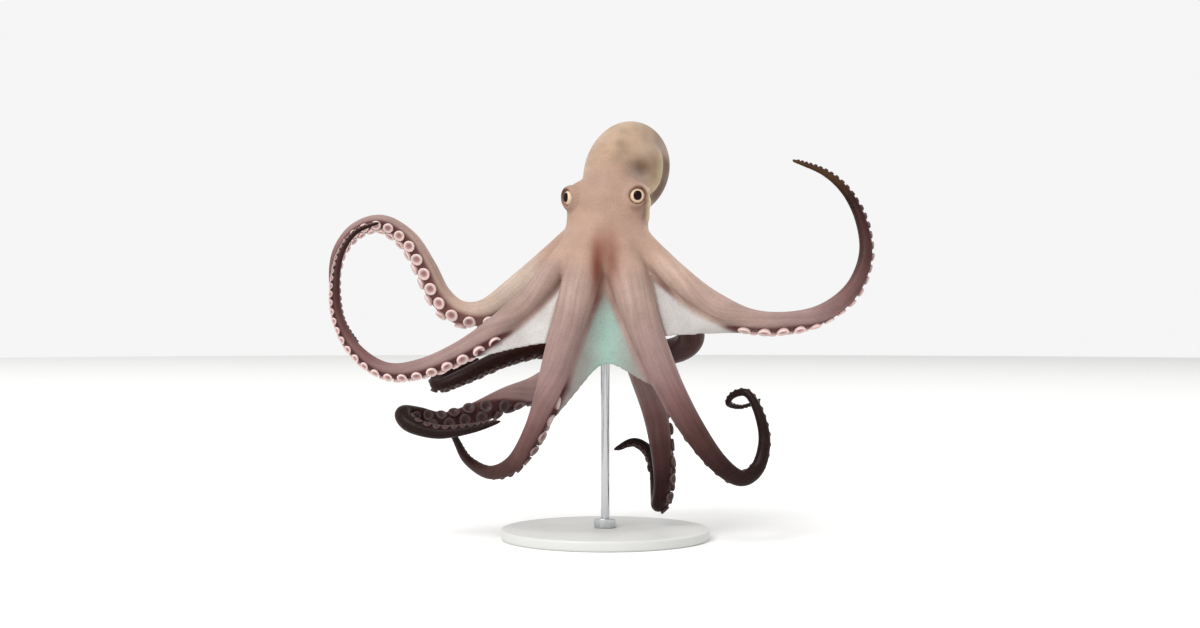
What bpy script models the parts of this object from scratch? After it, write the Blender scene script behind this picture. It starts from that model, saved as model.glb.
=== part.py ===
"""A life-size common octopus, swimming with its arms spread, on a display stand.

Axes: +X is the animal's left, -Y is the way it faces, +Z is up. The origin is the middle of
the stand's underside. Lengths below are in millimetres, and a mesh is made in metres.
"""

import math

import bpy
import numpy as np

MM = 0.001
GAP, WIDER_GAP = 0.3, 0.35  # between solids that meet

# Stand
BASE_R, BASE_H, BASE_EDGE = 120.0, 12.0, 2.5
ROD_R, CUP_R, CUP_H, CUP_RIM = 5.0, 15.0, 11.0, 3.0
ROD_Y = 6.0
CUP_TOP = 318.0
BASE_SIDES, ROD_SIDES = 40, 20

# Head and crown, each lump as (centre, radii)
HEAD_LUMPS = (
    ((2, 2, 384), (41, 37, 34)),  # between the eyes
    ((1, 2, 348), (48, 45, 38)),  # crown, where the arms join
    ((9, 22, 405), (36, 30, 30)),  # neck
    ((34, -15, 391), (16, 18, 20)),  # mound of the left eye
    ((-32, -2, 390), (14, 18, 20)),  # mound of the right eye
    ((34, 0, 370), (17, 22, 30)),  # left cheek
    ((-29, 2, 369), (16, 22, 28)),  # right cheek
)
HEAD_SIDES, HEAD_RINGS = 20, 12
HEAD_VOXEL = 2.5
HEAD_SMOOTHING = 6
HEAD_TRIANGLES = 700
EYE_R = 10.0
EYE_SIDES, EYE_RINGS = 12, 7
EYES = {"eye_L": (36, -24, 392), "eye_R": (-38, -8, 391)}

# Mantle: a bag that leans back from the neck
MANTLE_FROM, MANTLE_TO = (9, 26, 411), (44, 172, 454)
MANTLE_HALF_WIDTH, MANTLE_HALF_HEIGHT = 48.0, 55.0
MANTLE_PROFILE = ((0, 0.52), (0.08, 0.66), (0.2, 0.84), (0.35, 0.97), (0.5, 1.0), (0.65, 0.97),
                  (0.8, 0.82), (0.9, 0.62), (0.96, 0.41), (1, 0.12))
MANTLE_SIDES = 18

# Funnel, under the neck on the far side
FUNNEL_PATH = ((0, 38, 372), (-5, 60, 362), (-12, 82, 346))
FUNNEL_RADII = (15.0, 12.0, 8.5)
FUNNEL_MOUTH_R, FUNNEL_MOUTH_DEPTH = 6.0, 14.0
FUNNEL_TAPER = 0.7  # of the mouth, at its blind end
FUNNEL_SIDES = 10

# Arms. Waypoints run from the crown to the tip. `side` is the side of the bend that the suckers
# are on, and `roll` turns them towards the front, in degrees, at shares of the arm's length.
ARM_SIDES = 8
RING_STEP, RING_STEP_PER_RADIUS = 8.5, 1.0  # between the rings of an arm
LEAST_STEP = 6.0
STUB, STUB_SPARE = 52.0, 4.0  # length of each arm that belongs to the head
CUTTER_SPARE = 45.0  # how far a cutter runs on along an arm
CUTS = (0.36, 0.66)  # shares of an arm's length at which it is parted
ARMS = {
    "arm_R1": dict(
        base=23.5, tip=1.8, power=1.1, side=1,
        roll=((0.2, -88), (0.34, -80), (0.42, -12), (0.52, 0), (0.62, -70), (1, -80)),
        way=((-15, -22, 336), (-25, -50, 302), (-37, -70, 260), (-50, -84, 218), (-63, -90, 172),
             (-79, -84, 128), (-102, -63, 92), (-130, -35, 79), (-158, 0, 90), (-174, 30, 111),
             (-187, 52, 131), (-201, 68, 141)),
    ),
    "arm_L1": dict(
        base=24.0, tip=1.8, power=1.15, side=-1,
        roll=((0.2, -88), (0.5, -80), (0.75, -70), (1, -50)),
        way=((13, -22, 336), (25, -50, 298), (39, -70, 254), (55, -84, 213), (73, -90, 172),
             (97, -87, 130), (125, -75, 93), (151, -61, 75), (171, -50, 86), (179, -43, 116),
             (173, -38, 147), (161, -30, 168), (146, -20, 166), (141, -8, 155), (158, 4, 151),
             (179, 11, 159)),
    ),
    "arm_R2": dict(
        base=17.5, tip=1.8, power=0.88, side=1,
        roll=((0.1, -80), (0.21, -75), (0.29, 5), (0.4, 15), (1, 10)),
        way=((-29, -12, 345), (-52, -27, 313), (-79, -41, 279), (-118, -53, 246), (-162, -58, 216),
             (-208, -53, 197), (-248, -43, 195), (-283, -33, 218), (-303, -25, 253),
             (-308, -17, 291), (-303, -8, 327), (-287, 0, 352), (-262, 4, 363)),
    ),
    "arm_L2": dict(
        base=18.0, tip=1.8, power=0.8, side=-1,
        roll=((0.1, -80), (0.25, -75), (0.32, 0), (0.42, 5), (0.5, -30), (1, -35)),
        way=((33, -12, 347), (56, -27, 321), (84, -41, 295), (118, -51, 270), (162, -56, 251),
             (207, -50, 249), (248, -40, 260), (281, -28, 287), (297, -16, 325), (294, -6, 363),
             (279, 4, 397), (254, 10, 421), (218, 15, 436)),
    ),
    "arm_R3": dict(
        base=20.5, tip=1.8, power=0.8, side=1,
        roll=((0.15, -30), (0.32, 40), (0.62, 45), (1, 20)),
        way=((-34, 16, 344), (-62, 28, 318), (-100, 38, 288), (-139, 46, 261), (-171, 50, 259),
             (-195, 50, 279), (-211, 46, 312), (-231, 40, 345), (-261, 34, 364), (-292, 30, 355),
             (-312, 28, 326), (-315, 26, 286), (-306, 22, 249), (-287, 18, 223)),
    ),
    "arm_L3": dict(
        base=18.5, tip=1.8, power=0.5, side=1,
        roll=((0.15, -60), (0.4, -60), (0.55, -20), (1, 0)),
        way=((36, 16, 344), (64, 42, 312), (88, 70, 270), (104, 102, 230), (80, 135, 212),
             (31, 150, 214), (-25, 151, 219), (-80, 141, 217), (-128, 127, 203), (-173, 117, 182),
             (-203, 120, 171), (-205, 138, 181), (-185, 151, 190), (-157, 159, 202)),
    ),
    "arm_R4": dict(
        base=20.0, tip=1.6, power=0.6, side=1,
        roll=((0.2, -80), (0.36, -70), (0.5, 60), (0.56, 120), (0.64, 110), (0.75, 0), (1, 0)),
        way=((-15, 34, 336), (-20, 62, 294), (-24, 74, 246), (-41, 71, 199), (-77, 55, 172),
             (-114, 38, 159), (-151, 22, 142), (-187, 10, 133), (-216, 1, 141), (-231, -12, 144),
             (-221, -26, 132), (-189, -34, 124), (-153, -38, 128), (-119, -40, 137)),
    ),
    "arm_L4": dict(
        base=20.5, tip=1.6, power=0.6, side=1,
        roll=((0.2, -60), (0.5, -50), (0.62, 0), (0.75, 20), (1, 10)),
        way=((13, 34, 336), (21, 60, 288), (29, 58, 233), (44, 40, 188), (58, 20, 144),
             (65, 4, 103), (67, -1, 64), (63, 10, 40), (62, 30, 46), (60, 43, 73), (52, 50, 96),
             (34, 54, 107), (11, 52, 98)),
    ),
}
BACK_ARMS = ("arm_R4", "arm_L4")
PATH_STEP = 2.0
CURVE_SAMPLES = 24  # between two waypoints, before the path is evened out
FOLLOW = 0.15  # how fast, per step, the suckers turn to the wanted side
FACE_MOUTH, FACE_ROLL = 40.0, 110.0  # they face the mouth before the first, follow `roll` after
MOUTH_Y, MOUTH_DOWN = 6.0, 0.8
WIDE, TALL_BACK, TALL_UNDER = 1.04, 0.98, 0.84  # half sizes of an arm's outline, in radii

# Suckers: a pair of rows along part of each arm
SUCKER_FROM, SUCKER_TO = 0.5, 0.82  # shares of the arm's length
SUCKERS_PER_ARM = 5
SUCKER_SIDES = 6
SUCKER_R, SUCKER_OUT = 0.42, 0.38  # in arm radii: its size, and how far it is off the middle
SUCKER_SHAPE = ((0.6, 0.75), (1.12, 1.0))  # (height in arm radii, share of its radius)

# Web between neighbouring arms: how far it runs along each of the two, and how deep its free
# edge is hollowed
WEB_THICK = 2.6
WEB_FROM = 36.0
WEB_INSET = 0.62  # where the web joins an arm, in arm radii from the middle
WEB_SAG = 0.16  # how far the web bellies inward, as a share of its width
WEB_DROP = 20.0  # how far below itself it bellies towards
WEB_STEPS, WEB_ACROSS = 5, 5
WEBS = {
    "web_front": ("arm_R1", "arm_L1", 228, 184, 0.33),
    "web_R12": ("arm_R2", "arm_R1", 205, 134, 0.1),
    "web_L12": ("arm_L2", "arm_L1", 214, 127, 0.05),
    "web_R23": ("arm_R3", "arm_R2", 96, 110, 0.3),
    "web_L23": ("arm_L3", "arm_L2", 96, 110, 0.3),
    "web_R34": ("arm_R4", "arm_R3", 110, 110, 0.3),
    "web_L34": ("arm_L4", "arm_L3", 105, 100, 0.3),
    "web_back": ("arm_R4", "arm_L4", 105, 105, 0.3),
}

COLOURS = {
    "arm": (0.34, 0.2, 0.17, 1),
    "web": (0.55, 0.53, 0.48, 1),
    "head": (0.5, 0.34, 0.25, 1),
    "mantle": (0.48, 0.33, 0.22, 1),
    "funnel": (0.55, 0.42, 0.33, 1),
    "eye": (0.1, 0.07, 0.05, 1),
    "stand_base": (0.7, 0.7, 0.7, 1),
    "stand_rod": (0.6, 0.6, 0.62, 1),
}


def unit(v):
    """Rows of v at length one."""
    return v / np.maximum(np.linalg.norm(v, axis=-1, keepdims=True), 1e-9)


def smooth_path(way):
    """Points every PATH_STEP along a Catmull-Rom curve through the waypoints."""
    way = np.array(way, float)
    ends = np.vstack([2 * way[0] - way[1], way, 2 * way[-1] - way[-2]])
    found = []
    for a, b, c, d in zip(ends, ends[1:], ends[2:], ends[3:]):
        t = np.linspace(0, 1, CURVE_SAMPLES, endpoint=False)[:, None]
        found.append(
            0.5 * (2 * b + (c - a) * t + (2 * a - 5 * b + 4 * c - d) * t**2
                   + (3 * b - a - 3 * c + d) * t**3)
        )
    dense = np.vstack([*found, way[-1:]])
    run = np.concatenate([[0], np.cumsum(np.linalg.norm(np.diff(dense, axis=0), axis=1))])
    at = np.linspace(0, run[-1], int(run[-1] / PATH_STEP) + 1)
    return np.stack([np.interp(at, run, dense[:, k]) for k in range(3)], axis=1), at


class Arm:
    """One arm's centreline, thickness and the way its suckers face."""

    def __init__(self, base, tip, power, side, roll, way):
        self.path, self.at = smooth_path(way)
        self.length = self.at[-1]
        share = self.at / self.length
        self.radius = tip + (base - tip) * (1 - share) ** power
        self.along = unit(np.gradient(self.path, axis=0))
        turn = np.radians(np.interp(share, *zip(*roll)))[:, None]
        forward = np.array([0.0, -1.0, 0.0])
        bend = side * np.cross(self.along, -forward)
        inward = unit(np.array([0, MOUTH_Y, 0]) - self.path * [1, 1, 0]) - [0, 0, MOUTH_DOWN]
        blend = np.clip((self.at - FACE_MOUTH) / (FACE_ROLL - FACE_MOUTH), 0, 1)[:, None]
        wanted = (1 - blend) * inward + blend * (bend * np.cos(turn) + forward * np.sin(turn))
        wanted -= (wanted * self.along).sum(1, keepdims=True) * self.along
        self.oral = unit(wanted)
        for i in range(1, len(wanted)):  # follows what is wanted without a sudden turn
            held = self.oral[i - 1] + FOLLOW * wanted[i]
            self.oral[i] = unit(held - held @ self.along[i] * self.along[i])
        self.across = np.cross(self.along, self.oral)
        self.marks = []
        stops = [0, STUB, *(cut * self.length for cut in CUTS), self.length]
        for start, end in zip(stops, stops[1:]):
            s = start
            while s < end - LEAST_STEP:  # closer together where the arm is thin
                self.marks.append(s)
                s += RING_STEP + RING_STEP_PER_RADIUS * self.spot(s)[4]

    def spot(self, s):
        """(centre, along, oral, across, radius) at a distance s from the crown."""
        at = np.clip(s / self.length, 0, 1) * (len(self.at) - 1)
        i = min(int(at), len(self.at) - 2)
        near, far = 1 - (at - i), at - i
        centre = self.path[i] * near + self.path[i + 1] * far
        along, oral, across = (
            unit(axis[i] * near + axis[i + 1] * far) for axis in (self.along, self.oral, self.across)
        )
        return centre, along, oral, across, self.radius[i] * near + self.radius[i + 1] * far

    def ring(self, s, sides, extra=0.0):
        """The outline at s: flatter on the sucker side, a little wider than tall."""
        centre, _, oral, across, r = self.spot(s)
        turn = (np.arange(sides) + 0.5) * 2 * math.pi / sides
        up = np.sin(turn)
        tall = np.where(up > 0, TALL_UNDER, TALL_BACK) * r + extra
        wide = WIDE * r + extra
        return centre + np.outer(wide * np.cos(turn), across) + np.outer(tall * up, oral)

    def stations(self, start, end):
        """Where the rings between start and end go. Every piece of an arm shares these marks."""
        inner = [s for s in self.marks if start + 1.5 < s < end - 1.5]
        return [start, *inner, end]


def new_object(name, points, faces):
    """A mesh object from points in millimetres."""
    mesh = bpy.data.meshes.new(name)
    mesh.from_pydata([tuple(p) for p in np.asarray(points) * MM], [], faces)
    mesh.update()
    obj = bpy.data.objects.new(name, mesh)
    bpy.context.scene.collection.objects.link(obj)
    return obj


def skinned(rings):
    """Points and faces of a closed tube through rings of equal count, with flat ends."""
    n = len(rings[0])
    faces = []
    for k in range(len(rings) - 1):
        for i in range(n):
            a, b = k * n + i, k * n + (i + 1) % n
            faces += [(a, b, b + n), (a, b + n, a + n)]
    last = (len(rings) - 1) * n
    faces += [tuple(range(n))[::-1], tuple(range(last, last + n))]
    return np.vstack(rings), faces


def joined(pieces):
    """Several (points, faces) as one."""
    points, faces, start = [], [], 0
    for p, f in pieces:
        points.append(p)
        faces += [tuple(i + start for i in face) for face in f]
        start += len(p)
    return np.vstack(points), faces


def ellipsoid(centre, radii, around, up, extra=0.0):
    """Points and faces of an ellipsoid, its poles along Z."""
    turn = np.arange(around) * 2 * math.pi / around
    rings = []
    for k in range(up):
        tilt = math.pi * (k + 0.35) / (up - 0.3) - math.pi / 2
        flat = np.stack([np.cos(turn), np.sin(turn), np.zeros(around)], axis=1)
        unit_ring = flat * math.cos(tilt) + [0, 0, math.sin(tilt)]
        rings.append(np.array(centre) + unit_ring * (np.array(radii) + extra))
    return skinned(rings)


def eyeball(centre, extra=0.0):
    """Points and faces of an eye."""
    return outward(ellipsoid(centre, (EYE_R,) * 3, EYE_SIDES, EYE_RINGS, extra))


def lathe(profile, centre, sides):
    """Points and faces of a solid turned round Z from (radius, height) pairs."""
    turn = np.arange(sides) * 2 * math.pi / sides
    flat = np.stack([np.cos(turn), np.sin(turn), np.zeros(sides)], axis=1)
    return skinned([np.array([*centre, 0.0]) + flat * r + [0, 0, z] for r, z in profile])


def evaluated(obj):
    """Applies the object's modifiers and keeps its largest piece, its normals facing out."""
    graph = bpy.context.evaluated_depsgraph_get()
    mesh = bpy.data.meshes.new_from_object(obj.evaluated_get(graph))
    obj.modifiers.clear()
    obj.data = mesh
    points = np.array([v.co[:] for v in mesh.vertices])
    owner = np.arange(len(points))
    ends = np.array([e.vertices[:] for e in mesh.edges])
    while True:
        low = np.minimum(owner[ends[:, 0]], owner[ends[:, 1]])
        fresh = owner.copy()
        np.minimum.at(fresh, ends[:, 0], low)
        np.minimum.at(fresh, ends[:, 1], low)
        if (fresh == owner).all():
            break
        owner = fresh
    pieces = np.unique(owner)
    if len(pieces) > 1:
        spans = [np.ptp(points[owner == p], axis=0).sum() for p in pieces]
        keep = owner == pieces[int(np.argmax(spans))]
        number = np.cumsum(keep) - 1
        faces = [
            tuple(int(number[i]) for i in f.vertices) for f in mesh.polygons if keep[f.vertices[0]]
        ]
        fresh_mesh = bpy.data.meshes.new(obj.name)
        fresh_mesh.from_pydata([tuple(p) for p in points[keep]], [], faces)
        obj.data = fresh_mesh
    return obj


def boolean(obj, other, operation):
    """Adds `other` to the object or takes it away, and removes `other`."""
    modifier = obj.modifiers.new(operation.lower(), "BOOLEAN")
    modifier.operation = operation
    modifier.solver = "EXACT"
    modifier.use_self = operation == "UNION"
    modifier.object = other
    evaluated(obj)
    bpy.data.objects.remove(other)


def cut_by(obj, pieces):
    """Takes each (points, faces) away from the object."""
    for piece in pieces:
        boolean(obj, new_object("cutter", *piece), "DIFFERENCE")


def material(name, roughness=0.4, metallic=0.0):
    """One Principled material for a kind of part."""
    made = bpy.data.materials.new(name)
    made.use_nodes = True
    shader = made.node_tree.nodes["Principled BSDF"]
    shader.inputs["Base Color"].default_value = COLOURS[name]
    shader.inputs["Roughness"].default_value = roughness
    shader.inputs["Metallic"].default_value = metallic
    made.diffuse_color = COLOURS[name]
    return made


def arm_tube(arm, start, end, extra=0.0):
    """Points and faces of an arm from start to end, closed at both."""
    rings = [arm.ring(s, ARM_SIDES, extra) for s in arm.stations(start, end)]
    return skinned(rings)


def suckers(arm, start, end):
    """Low cups in two rows on the sucker side, for the pairs that fall between start and end."""
    found = []
    steps = np.linspace(SUCKER_FROM, SUCKER_TO, SUCKERS_PER_ARM) * arm.length
    turn = np.arange(SUCKER_SIDES) * 2 * math.pi / SUCKER_SIDES
    for k, s in enumerate(steps):
        wide = SUCKER_R * arm.spot(s)[4]
        if not start + wide + 2 < s < end - wide - 2:
            continue
        centre, along, oral, across, r = arm.spot(s)
        foot = centre + across * (SUCKER_OUT if k % 2 else -SUCKER_OUT) * r
        flat = np.outer(np.cos(turn), along) + np.outer(np.sin(turn), across)
        rings = [foot + oral * up * r + flat * wide * share for up, share in SUCKER_SHAPE]
        found.append(skinned(rings))
    return found


def build_arm(name, arm):
    """The lengths of one arm beyond the head, each its own object."""
    cuts = [STUB, *(share * arm.length for share in CUTS), arm.length]
    for k, (start, end) in enumerate(zip(cuts, cuts[1:])):
        last = k == len(cuts) - 2
        obj = new_object(
            f"{name}_{'root mid tip'.split()[k]}",
            *outward(arm_tube(arm, start + GAP / 2, end if last else end - GAP / 2)),
        )
        for cup in suckers(arm, start, end):
            boolean(obj, new_object("cup", *outward(cup)), "UNION")


def web_side(spot, other):
    """Where the web joins an arm at `spot`, on the side towards the `other` arm's spot."""
    away = other[0] - spot[0]
    away -= away @ spot[1] * spot[1]
    return spot[0] + unit(away) * spot[4] * WEB_INSET


def web_sheet(first, second, reach_a, reach_b, hollow):
    """Points and faces of the web between two arms, running into both."""
    grid = np.empty((WEB_STEPS + 1, WEB_ACROSS + 1, 3))
    for i, u in enumerate(np.linspace(0, 1, WEB_STEPS + 1)):
        for j, v in enumerate(np.linspace(0, 1, WEB_ACROSS + 1)):
            bay = 4 * v * (1 - v)
            run = u * (1 - hollow * bay)
            spot_a = first.spot(WEB_FROM + (reach_a - WEB_FROM) * run)
            spot_b = second.spot(WEB_FROM + (reach_b - WEB_FROM) * run)
            a, b = web_side(spot_a, spot_b), web_side(spot_b, spot_a)
            point = a + (b - a) * v
            inward = unit(np.array([0, MOUTH_Y, point[2] - WEB_DROP]) - point)
            grid[i, j] = point + inward * WEB_SAG * bay * np.linalg.norm(b - a)
    normal = unit(np.cross(np.gradient(grid, axis=0), np.gradient(grid, axis=1)))
    front, back = grid + normal * WEB_THICK / 2, grid - normal * WEB_THICK / 2
    rows, columns = grid.shape[:2]
    index = np.arange(rows * columns).reshape(rows, columns)
    far = index + rows * columns
    faces = []
    for i in range(rows - 1):
        for j in range(columns - 1):
            a, b, c, d = index[i, j], index[i + 1, j], index[i + 1, j + 1], index[i, j + 1]
            faces += [(a, b, c), (a, c, d)]
            a, b, c, d = far[i, j], far[i + 1, j], far[i + 1, j + 1], far[i, j + 1]
            faces += [(c, b, a), (d, c, a)]
    rim = [*index[0, :-1], *index[:-1, -1], *index[-1, :0:-1], *index[:0:-1, 0]]
    for a, b in zip(rim, [*rim[1:], rim[0]]):
        shift = rows * columns
        faces += [(a, b, b + shift), (a, b + shift, a + shift)]
    faces = [tuple(int(i) for i in f) for f in faces]
    return np.vstack([front.reshape(-1, 3), back.reshape(-1, 3)]), faces


def mantle_rings(extra=0.0):
    """The mantle's outline at each station of its profile."""
    start, end = np.array(MANTLE_FROM, float), np.array(MANTLE_TO, float)
    along = unit(end - start)
    wide = unit(np.cross(along, [0, 0, 1.0]))
    tall = np.cross(wide, along)
    turn = np.arange(MANTLE_SIDES) * 2 * math.pi / MANTLE_SIDES
    last = MANTLE_PROFILE[-1][0]
    rings = []
    for share, size in MANTLE_PROFILE:
        push = extra * (-1 if share == 0 else share == last)
        rings.append(
            start + (end - start) * share + along * push
            + np.outer(np.cos(turn) * (MANTLE_HALF_WIDTH * size + extra), wide)
            + np.outer(np.sin(turn) * (MANTLE_HALF_HEIGHT * size + extra), tall)
        )
    return rings


def funnel_tube(extra=0.0, hollow=True):
    """The funnel, with a blind mouth unless it is to be used as a cutter."""
    path = np.array(FUNNEL_PATH, float)
    along = unit(np.gradient(path, axis=0))
    turn = np.arange(FUNNEL_SIDES) * 2 * math.pi / FUNNEL_SIDES
    rings = []

    def ring(centre, way, r):
        wide = unit(np.cross(way, [0, 0, 1.0]))
        tall = np.cross(wide, way)
        return centre + np.outer(np.cos(turn) * r, wide) + np.outer(np.sin(turn) * r, tall)

    for centre, way, r in zip(path, along, FUNNEL_RADII):
        rings.append(ring(centre, way, r + extra))
    rings[0] -= along[0] * extra
    if hollow:
        rings.append(ring(path[-1], along[-1], FUNNEL_MOUTH_R))
        end = path[-1] - along[-1] * FUNNEL_MOUTH_DEPTH
        rings.append(ring(end, along[-1], FUNNEL_MOUTH_R * FUNNEL_TAPER))
    else:
        rings[-1] += along[-1] * extra
    return skinned(rings)


def outward(piece):
    """The same solid, its faces turned to face out."""
    points, faces = piece
    volume = 0.0
    for f in faces:
        for b, c in zip(f[1:], f[2:]):
            volume += np.dot(points[f[0]], np.cross(points[b], points[c]))
    return points, faces if volume > 0 else [f[::-1] for f in faces]


def cup_rod(extra=0.0):
    """The rod and the cup that carries the animal."""
    profile = (
        (ROD_R + extra, BASE_H + GAP - extra), (ROD_R + extra, CUP_TOP - CUP_H - extra),
        (CUP_R + extra, CUP_TOP - CUP_RIM - extra), (CUP_R + extra, CUP_TOP + extra),
    )
    return lathe(profile, (0, ROD_Y), ROD_SIDES)


def build_head(arms, clear_of):
    """Head, crown, neck and the first part of every arm, as one rounded solid.

    It gives back the (points, faces) of a slightly larger one, which keeps the webs clear.
    """
    lumps = [outward(ellipsoid(c, r, HEAD_SIDES, HEAD_RINGS)) for c, r in HEAD_LUMPS]
    lumps += [outward(arm_tube(arm, 0, STUB + STUB_SPARE)) for arm in arms.values()]
    head = new_object("head", *joined(lumps))
    remesh = head.modifiers.new("round", "REMESH")
    remesh.mode = "VOXEL"
    remesh.voxel_size = HEAD_VOXEL * MM
    smooth = head.modifiers.new("smooth", "SMOOTH")
    smooth.factor, smooth.iterations = 0.5, HEAD_SMOOTHING
    evaluated(head)
    fewer = head.modifiers.new("fewer", "DECIMATE")
    fewer.ratio = HEAD_TRIANGLES / (2 * len(head.data.polygons))
    evaluated(head)
    swollen = [(v.co + v.normal * 2 * GAP * MM) / MM for v in head.data.vertices]
    faces = [tuple(f.vertices) for f in head.data.polygons]
    cut_by(head, clear_of)
    return np.array(swollen), faces


def main():
    for obj in list(bpy.data.objects):
        bpy.data.objects.remove(obj)

    arms = {name: Arm(**shape) for name, shape in ARMS.items()}
    mantle = outward(skinned(mantle_rings()))
    funnel = outward(funnel_tube())
    eyes = {name: eyeball(c) for name, c in EYES.items()}

    wider = [outward(skinned(mantle_rings(GAP))), outward(funnel_tube(GAP, hollow=False)),
             outward(cup_rod(GAP))]
    wider += [eyeball(c, GAP) for c in EYES.values()]
    beyond = [
        outward(arm_tube(arm, STUB - GAP / 2, STUB + CUTTER_SPARE, WIDER_GAP))
        for arm in arms.values()
    ]
    swollen_head = build_head(arms, wider + beyond)

    for name, arm in arms.items():
        build_arm(name, arm)

    for name, (a, b, reach_a, reach_b, hollow) in WEBS.items():
        web = new_object(name, *outward(web_sheet(arms[a], arms[b], reach_a, reach_b, hollow)))
        cut_by(web, [
            outward(arm_tube(arms[n], 0, reach + CUTTER_SPARE, WIDER_GAP))
            for n, reach in ((a, reach_a), (b, reach_b))
        ])
        cut_by(web, [swollen_head])

    new_object("mantle", *mantle)
    cut_by(new_object("funnel", *funnel), [
        wider[0],
        *(outward(arm_tube(arms[n], 0, STUB + CUTTER_SPARE, WIDER_GAP)) for n in BACK_ARMS),
    ])
    for name, ball in eyes.items():
        new_object(name, *ball)
    edge = BASE_EDGE
    base = ((BASE_R - edge, 0), (BASE_R, edge), (BASE_R, BASE_H - edge), (BASE_R - edge, BASE_H))
    new_object("stand_base", *outward(lathe(base, (0, 0), BASE_SIDES)))
    new_object("stand_rod", *outward(cup_rod()))

    looks = {
        "arm": material("arm"), "web": material("web", 0.5), "head": material("head"),
        "mantle": material("mantle"), "funnel": material("funnel"), "eye": material("eye", 0.1),
        "stand_base": material("stand_base", 0.5), "stand_rod": material("stand_rod", 0.3, 1.0),
    }
    for obj in bpy.data.objects:
        kind = next(k for k in looks if obj.name.startswith(k))
        obj.data.materials.clear()
        obj.data.materials.append(looks[kind])


if __name__ == "__main__":
    main()
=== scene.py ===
"""Looks of a life-size octopus model on its display stand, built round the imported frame.

The flesh is one closed skin: arms, webs, head, mantle and funnel are laid out as closed shapes,
fused, evened out and dressed with a moist skin. The suckers, the eyes and the stand are pieces
of their own. Axes: +X is the animal's left, -Y the way it faces, +Z up, in metres.
"""

import logging
import math
from dataclasses import dataclass, field
from enum import Enum

import bpy
import numpy as np
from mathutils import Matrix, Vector
from mathutils.kdtree import KDTree


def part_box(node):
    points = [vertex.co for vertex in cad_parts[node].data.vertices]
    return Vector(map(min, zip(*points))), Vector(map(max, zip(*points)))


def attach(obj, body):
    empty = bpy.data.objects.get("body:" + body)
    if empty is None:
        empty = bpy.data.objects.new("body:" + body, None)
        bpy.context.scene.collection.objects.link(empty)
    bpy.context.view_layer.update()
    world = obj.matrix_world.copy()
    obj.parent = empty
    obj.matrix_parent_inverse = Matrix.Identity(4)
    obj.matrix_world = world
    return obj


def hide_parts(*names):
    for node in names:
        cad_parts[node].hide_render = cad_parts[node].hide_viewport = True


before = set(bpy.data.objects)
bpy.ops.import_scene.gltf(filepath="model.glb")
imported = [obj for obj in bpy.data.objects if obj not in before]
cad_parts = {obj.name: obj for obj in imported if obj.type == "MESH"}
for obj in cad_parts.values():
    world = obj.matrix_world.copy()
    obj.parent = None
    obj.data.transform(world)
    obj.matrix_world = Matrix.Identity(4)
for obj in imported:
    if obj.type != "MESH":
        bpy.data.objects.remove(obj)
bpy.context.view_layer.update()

LOG = logging.getLogger("octopus")
MM = 0.001
BODY = "root"

Array = np.ndarray
Piece = tuple[Array, list[tuple[int, ...]]]
FORWARD = np.array([0.0, -1.0, 0.0])
NOISE_SPAN = (0.3, 0.7)  # what a noise fills for the most part
AXIS_GAP = 0.2 * MM  # a turned profile starts this far from its axis
POLE_GAP = 0.492  # in half turns: how near an ellipsoid's rings come to its poles
CRISP_ANGLE = math.radians(32)


# ---------------------------------------------------------------- small tools


def linear(hex_colour: str) -> tuple[float, float, float, float]:
    """Turns an sRGB hex colour into a linear one.

    Args:
        hex_colour: a colour such as "#C2A98F".

    Returns:
        Red, green, blue and an alpha of 1, as the shaders take them.
    """
    parts = [int(hex_colour[i : i + 2], 16) / 255 for i in (1, 3, 5)]
    red, green, blue = (
        p / 12.92 if p <= 0.04045 else ((p + 0.055) / 1.055) ** 2.4 for p in parts
    )
    return red, green, blue, 1.0


def add_node(
    tree: bpy.types.NodeTree,
    kind: str,
    settings: dict[str, object] | None = None,
    inputs: dict[int | str, object] | None = None,
    stops: tuple[tuple[float, str], ...] = (),
) -> bpy.types.Node:
    """Adds one node with its settings and links.

    Args:
        tree: the node tree to add to.
        kind: the node's type, such as "ShaderNodeMix".
        settings: the node's own properties.
        inputs: values, or sockets to link from, by the input's index or name.
        stops: positions and hex colours of a colour ramp.

    Returns:
        The new node.
    """
    node = tree.nodes.new(kind)
    for name, value in (settings or {}).items():
        setattr(node, name, value)
    for key, value in (inputs or {}).items():
        if isinstance(value, bpy.types.NodeSocket):
            tree.links.new(value, node.inputs[key])
        else:
            node.inputs[key].default_value = value
    if stops:
        ramp = node.color_ramp
        while len(ramp.elements) < len(stops):
            ramp.elements.new(0.5)
        for element, (place, colour) in zip(ramp.elements, stops):
            element.position = place
            element.color = linear(colour)
    return node


def new_tree(name: str) -> tuple[bpy.types.Material, bpy.types.NodeTree]:
    """Starts a material with an empty node tree.

    Args:
        name: the material's name.

    Returns:
        The material and its tree.
    """
    made = bpy.data.materials.new(name)
    made.use_nodes = True
    made.node_tree.nodes.clear()
    return made, made.node_tree


def recorded(tree: bpy.types.NodeTree, name: str) -> bpy.types.Node:
    """Adds the node that reads what `record_on` stored.

    Args:
        tree: the node tree to add to.
        name: the record's name.

    Returns:
        The node, with the outputs "Fac" and "Vector".
    """
    return add_node(tree, "ShaderNodeAttribute", {"attribute_name": name})


def share_of(tree: bpy.types.NodeTree, name: str) -> bpy.types.NodeSocket:
    """Reads a recorded number.

    Args:
        tree: the node tree to add to.
        name: the record's name.

    Returns:
        The number at each point.
    """
    return recorded(tree, name).outputs["Fac"]


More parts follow.
